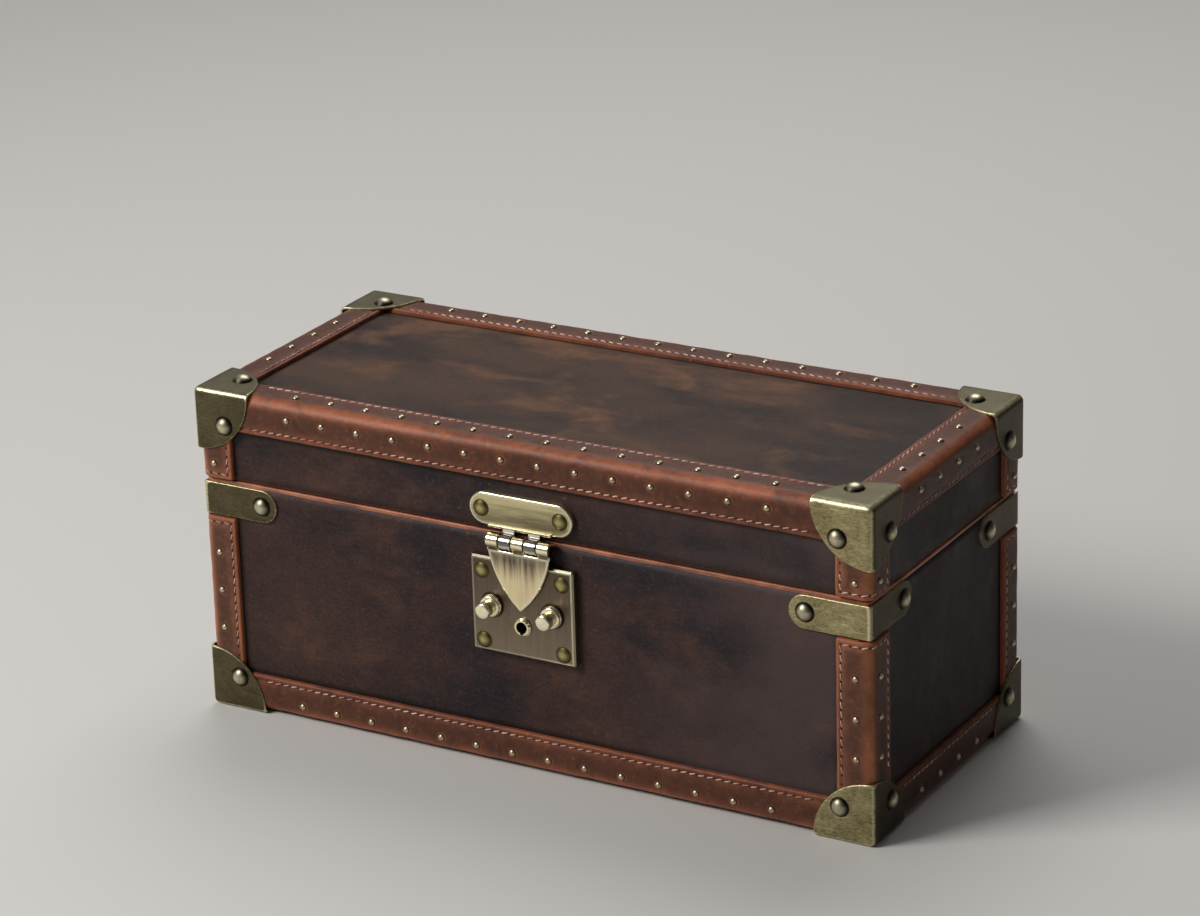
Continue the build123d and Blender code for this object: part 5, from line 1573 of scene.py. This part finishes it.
# %% [markdown]
# A watch sits round a small pillow. Real cloth is sewn flat and then stuffed, and a cloth simulation does
# just that: a slightly smaller body swells under pressure until its own skin holds it. One pillow is
# inflated and then used five times. The seams where the end pieces meet the long one are pressed in
# afterwards, with small puckers, because the simulation's mesh is too coarse to hold them.

# %% A pillow before it is stuffed
CUSHION_HALF = (25.0, 46.0, 29.0)
CUSHION_MIDDLE_Z = 11.5 + 29.0
SWELL = 1.6


def pillow():
    """Rings along x: y = b cos|cos| ** (2/n - 1), z likewise, drawn in towards both ends by 7 s**4."""
    share = np.concatenate([np.linspace(0.02, 0.9, 7), np.ones(23), np.linspace(0.9, 0.02, 7)])
    along = np.concatenate([np.full(7, -1.0), np.linspace(-1, 1, 23), np.full(7, 1.0)])
    angle = np.linspace(0, 2 * math.pi, 56, endpoint=False)
    cosine, sine = np.cos(angle), np.sin(angle)
    draw = 7.0 * along**4
    half_y = (CUSHION_HALF[1] - SWELL - draw) * share
    half_z = (CUSHION_HALF[2] - SWELL - draw) * share
    y = half_y[:, None] * np.sign(cosine) * np.abs(cosine) ** 0.62
    z = half_z[:, None] * np.sign(sine) * np.abs(sine) ** 0.62
    x = np.broadcast_to(((CUSHION_HALF[0] - SWELL) * along)[:, None], y.shape)
    return grid(np.stack([x, y, z], -1), round_columns=True)


print("flat pillow:", len(pillow()["faces"]), "faces")


def after_modifiers(made):
    """The part that an object is after its modifiers. Its faces all have four corners."""
    mesh = made.evaluated_get(bpy.context.evaluated_depsgraph_get()).to_mesh()
    points = np.empty(len(mesh.vertices) * 3, np.float32)
    mesh.vertices.foreach_get("co", points)
    corners = np.empty(len(mesh.loops), np.int32)
    mesh.loops.foreach_get("vertex_index", corners)
    return {"points": points.reshape(-1, 3).astype(float) / MM, "faces": corners.reshape(-1, 4), "marks": {}}


# %% Stuffing it
def stuffed(part, voxel=3.6, pressure=4.0, cap=2.4, frames=20):
    """Remeshes a closed body and lets cloth swell under pressure; no point moves further than the cap."""
    shell = linked("pillow_shell", mesh_of("pillow_shell", part))
    even = shell.modifiers.new("even", "REMESH")
    even.mode, even.voxel_size = "VOXEL", voxel * MM
    start = moved = after_modifiers(shell)
    bpy.data.objects.remove(shell)
    skin = linked("pillow_skin", mesh_of("pillow_skin", start))
    cloth = skin.modifiers.new("cloth", "CLOTH").settings
    cloth.quality, cloth.mass = 6, 0.15
    cloth.tension_stiffness = cloth.compression_stiffness = 12
    cloth.use_pressure, cloth.uniform_pressure_force = True, pressure
    cloth.effector_weights.gravity = 0
    for number in range(1, frames + 1):
        bpy.context.scene.frame_set(number)
    moved = after_modifiers(skin)
    bpy.context.scene.frame_set(1)
    bpy.data.objects.remove(skin)
    shift = moved["points"] - start["points"]
    length = np.linalg.norm(shift, axis=1, keepdims=True)
    shift *= np.minimum(1, cap / np.maximum(length, 1e-6))
    print("pillow:", len(shift), "points, moved", round(float(length.max()), 2), "mm at most")
    return {**start, "points": start["points"] + shift}


plump = stuffed(pillow())

# %% Seams, puckers and the five places
END_SEAM, PUCKERS = 19.5, 34


def sewn(points):
    """Each point moves towards the long axis by 1.1 exp(-(s / 1.6)**2) + 0.35 pucker exp(-(s / 5)**2) and a
    soft dent, where s is how far it is from a seam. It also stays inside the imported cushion's box."""
    x, y, z = points.T
    to_seam = np.abs(np.abs(x) - END_SEAM)
    pucker = 0.5 + 0.5 * np.cos(np.arctan2(z * 1.5, y) * PUCKERS)
    press = 1.1 * np.exp(-((to_seam / 1.6) ** 2)) + 0.35 * pucker * np.exp(-((to_seam / 5.0) ** 2))
    dent = np.abs(0.5 * ripple(x, y + z, 26, 77))
    outward = points * [0, 1, 1]
    outward /= np.maximum(np.linalg.norm(outward, axis=1, keepdims=True), 1e-6)
    limit = np.array(CUSHION_HALF) - 0.05
    return np.clip(points - outward * (press + dent)[:, None], -limit, limit), np.exp(-(to_seam**2))


sewn_points, seam_mark = sewn(plump["points"])
for number in range(1, 6):
    place = np.array([(number - 3) * WELL_PITCH, 0, CUSHION_MIDDLE_Z]) + MIDDLE
    part = {"points": sewn_points + place, "faces": plump["faces"], "marks": {"seam": seam_mark}}
    cushion = dressed(mesh_of(f"watch_cushion_{number}", part), cushion_suede, f"cushion_{number}_body",
                      [f"cushion_{number}"])
    smooth = cushion.modifiers.new("smooth", "SUBSURF")
    smooth.levels = smooth.render_levels = 1

# %% [markdown]
# The dressed object is meant to stay the size of the imported model, apart from a little soft cloth. Both
# boxes are kept side by side, and the size of the dressed object is printed.

# %% Sizes and the end
dressed_low, dressed_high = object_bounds()
sizes = {"packed": [list(packed_low), list(packed_high)], "dressed": [list(dressed_low), list(dressed_high)]}
sizes = {key: [[float(v) for v in corner] for corner in box] for key, box in sizes.items()}
print("dressed", [round(v / MM, 1) for v in dressed_high - dressed_low], "mm")
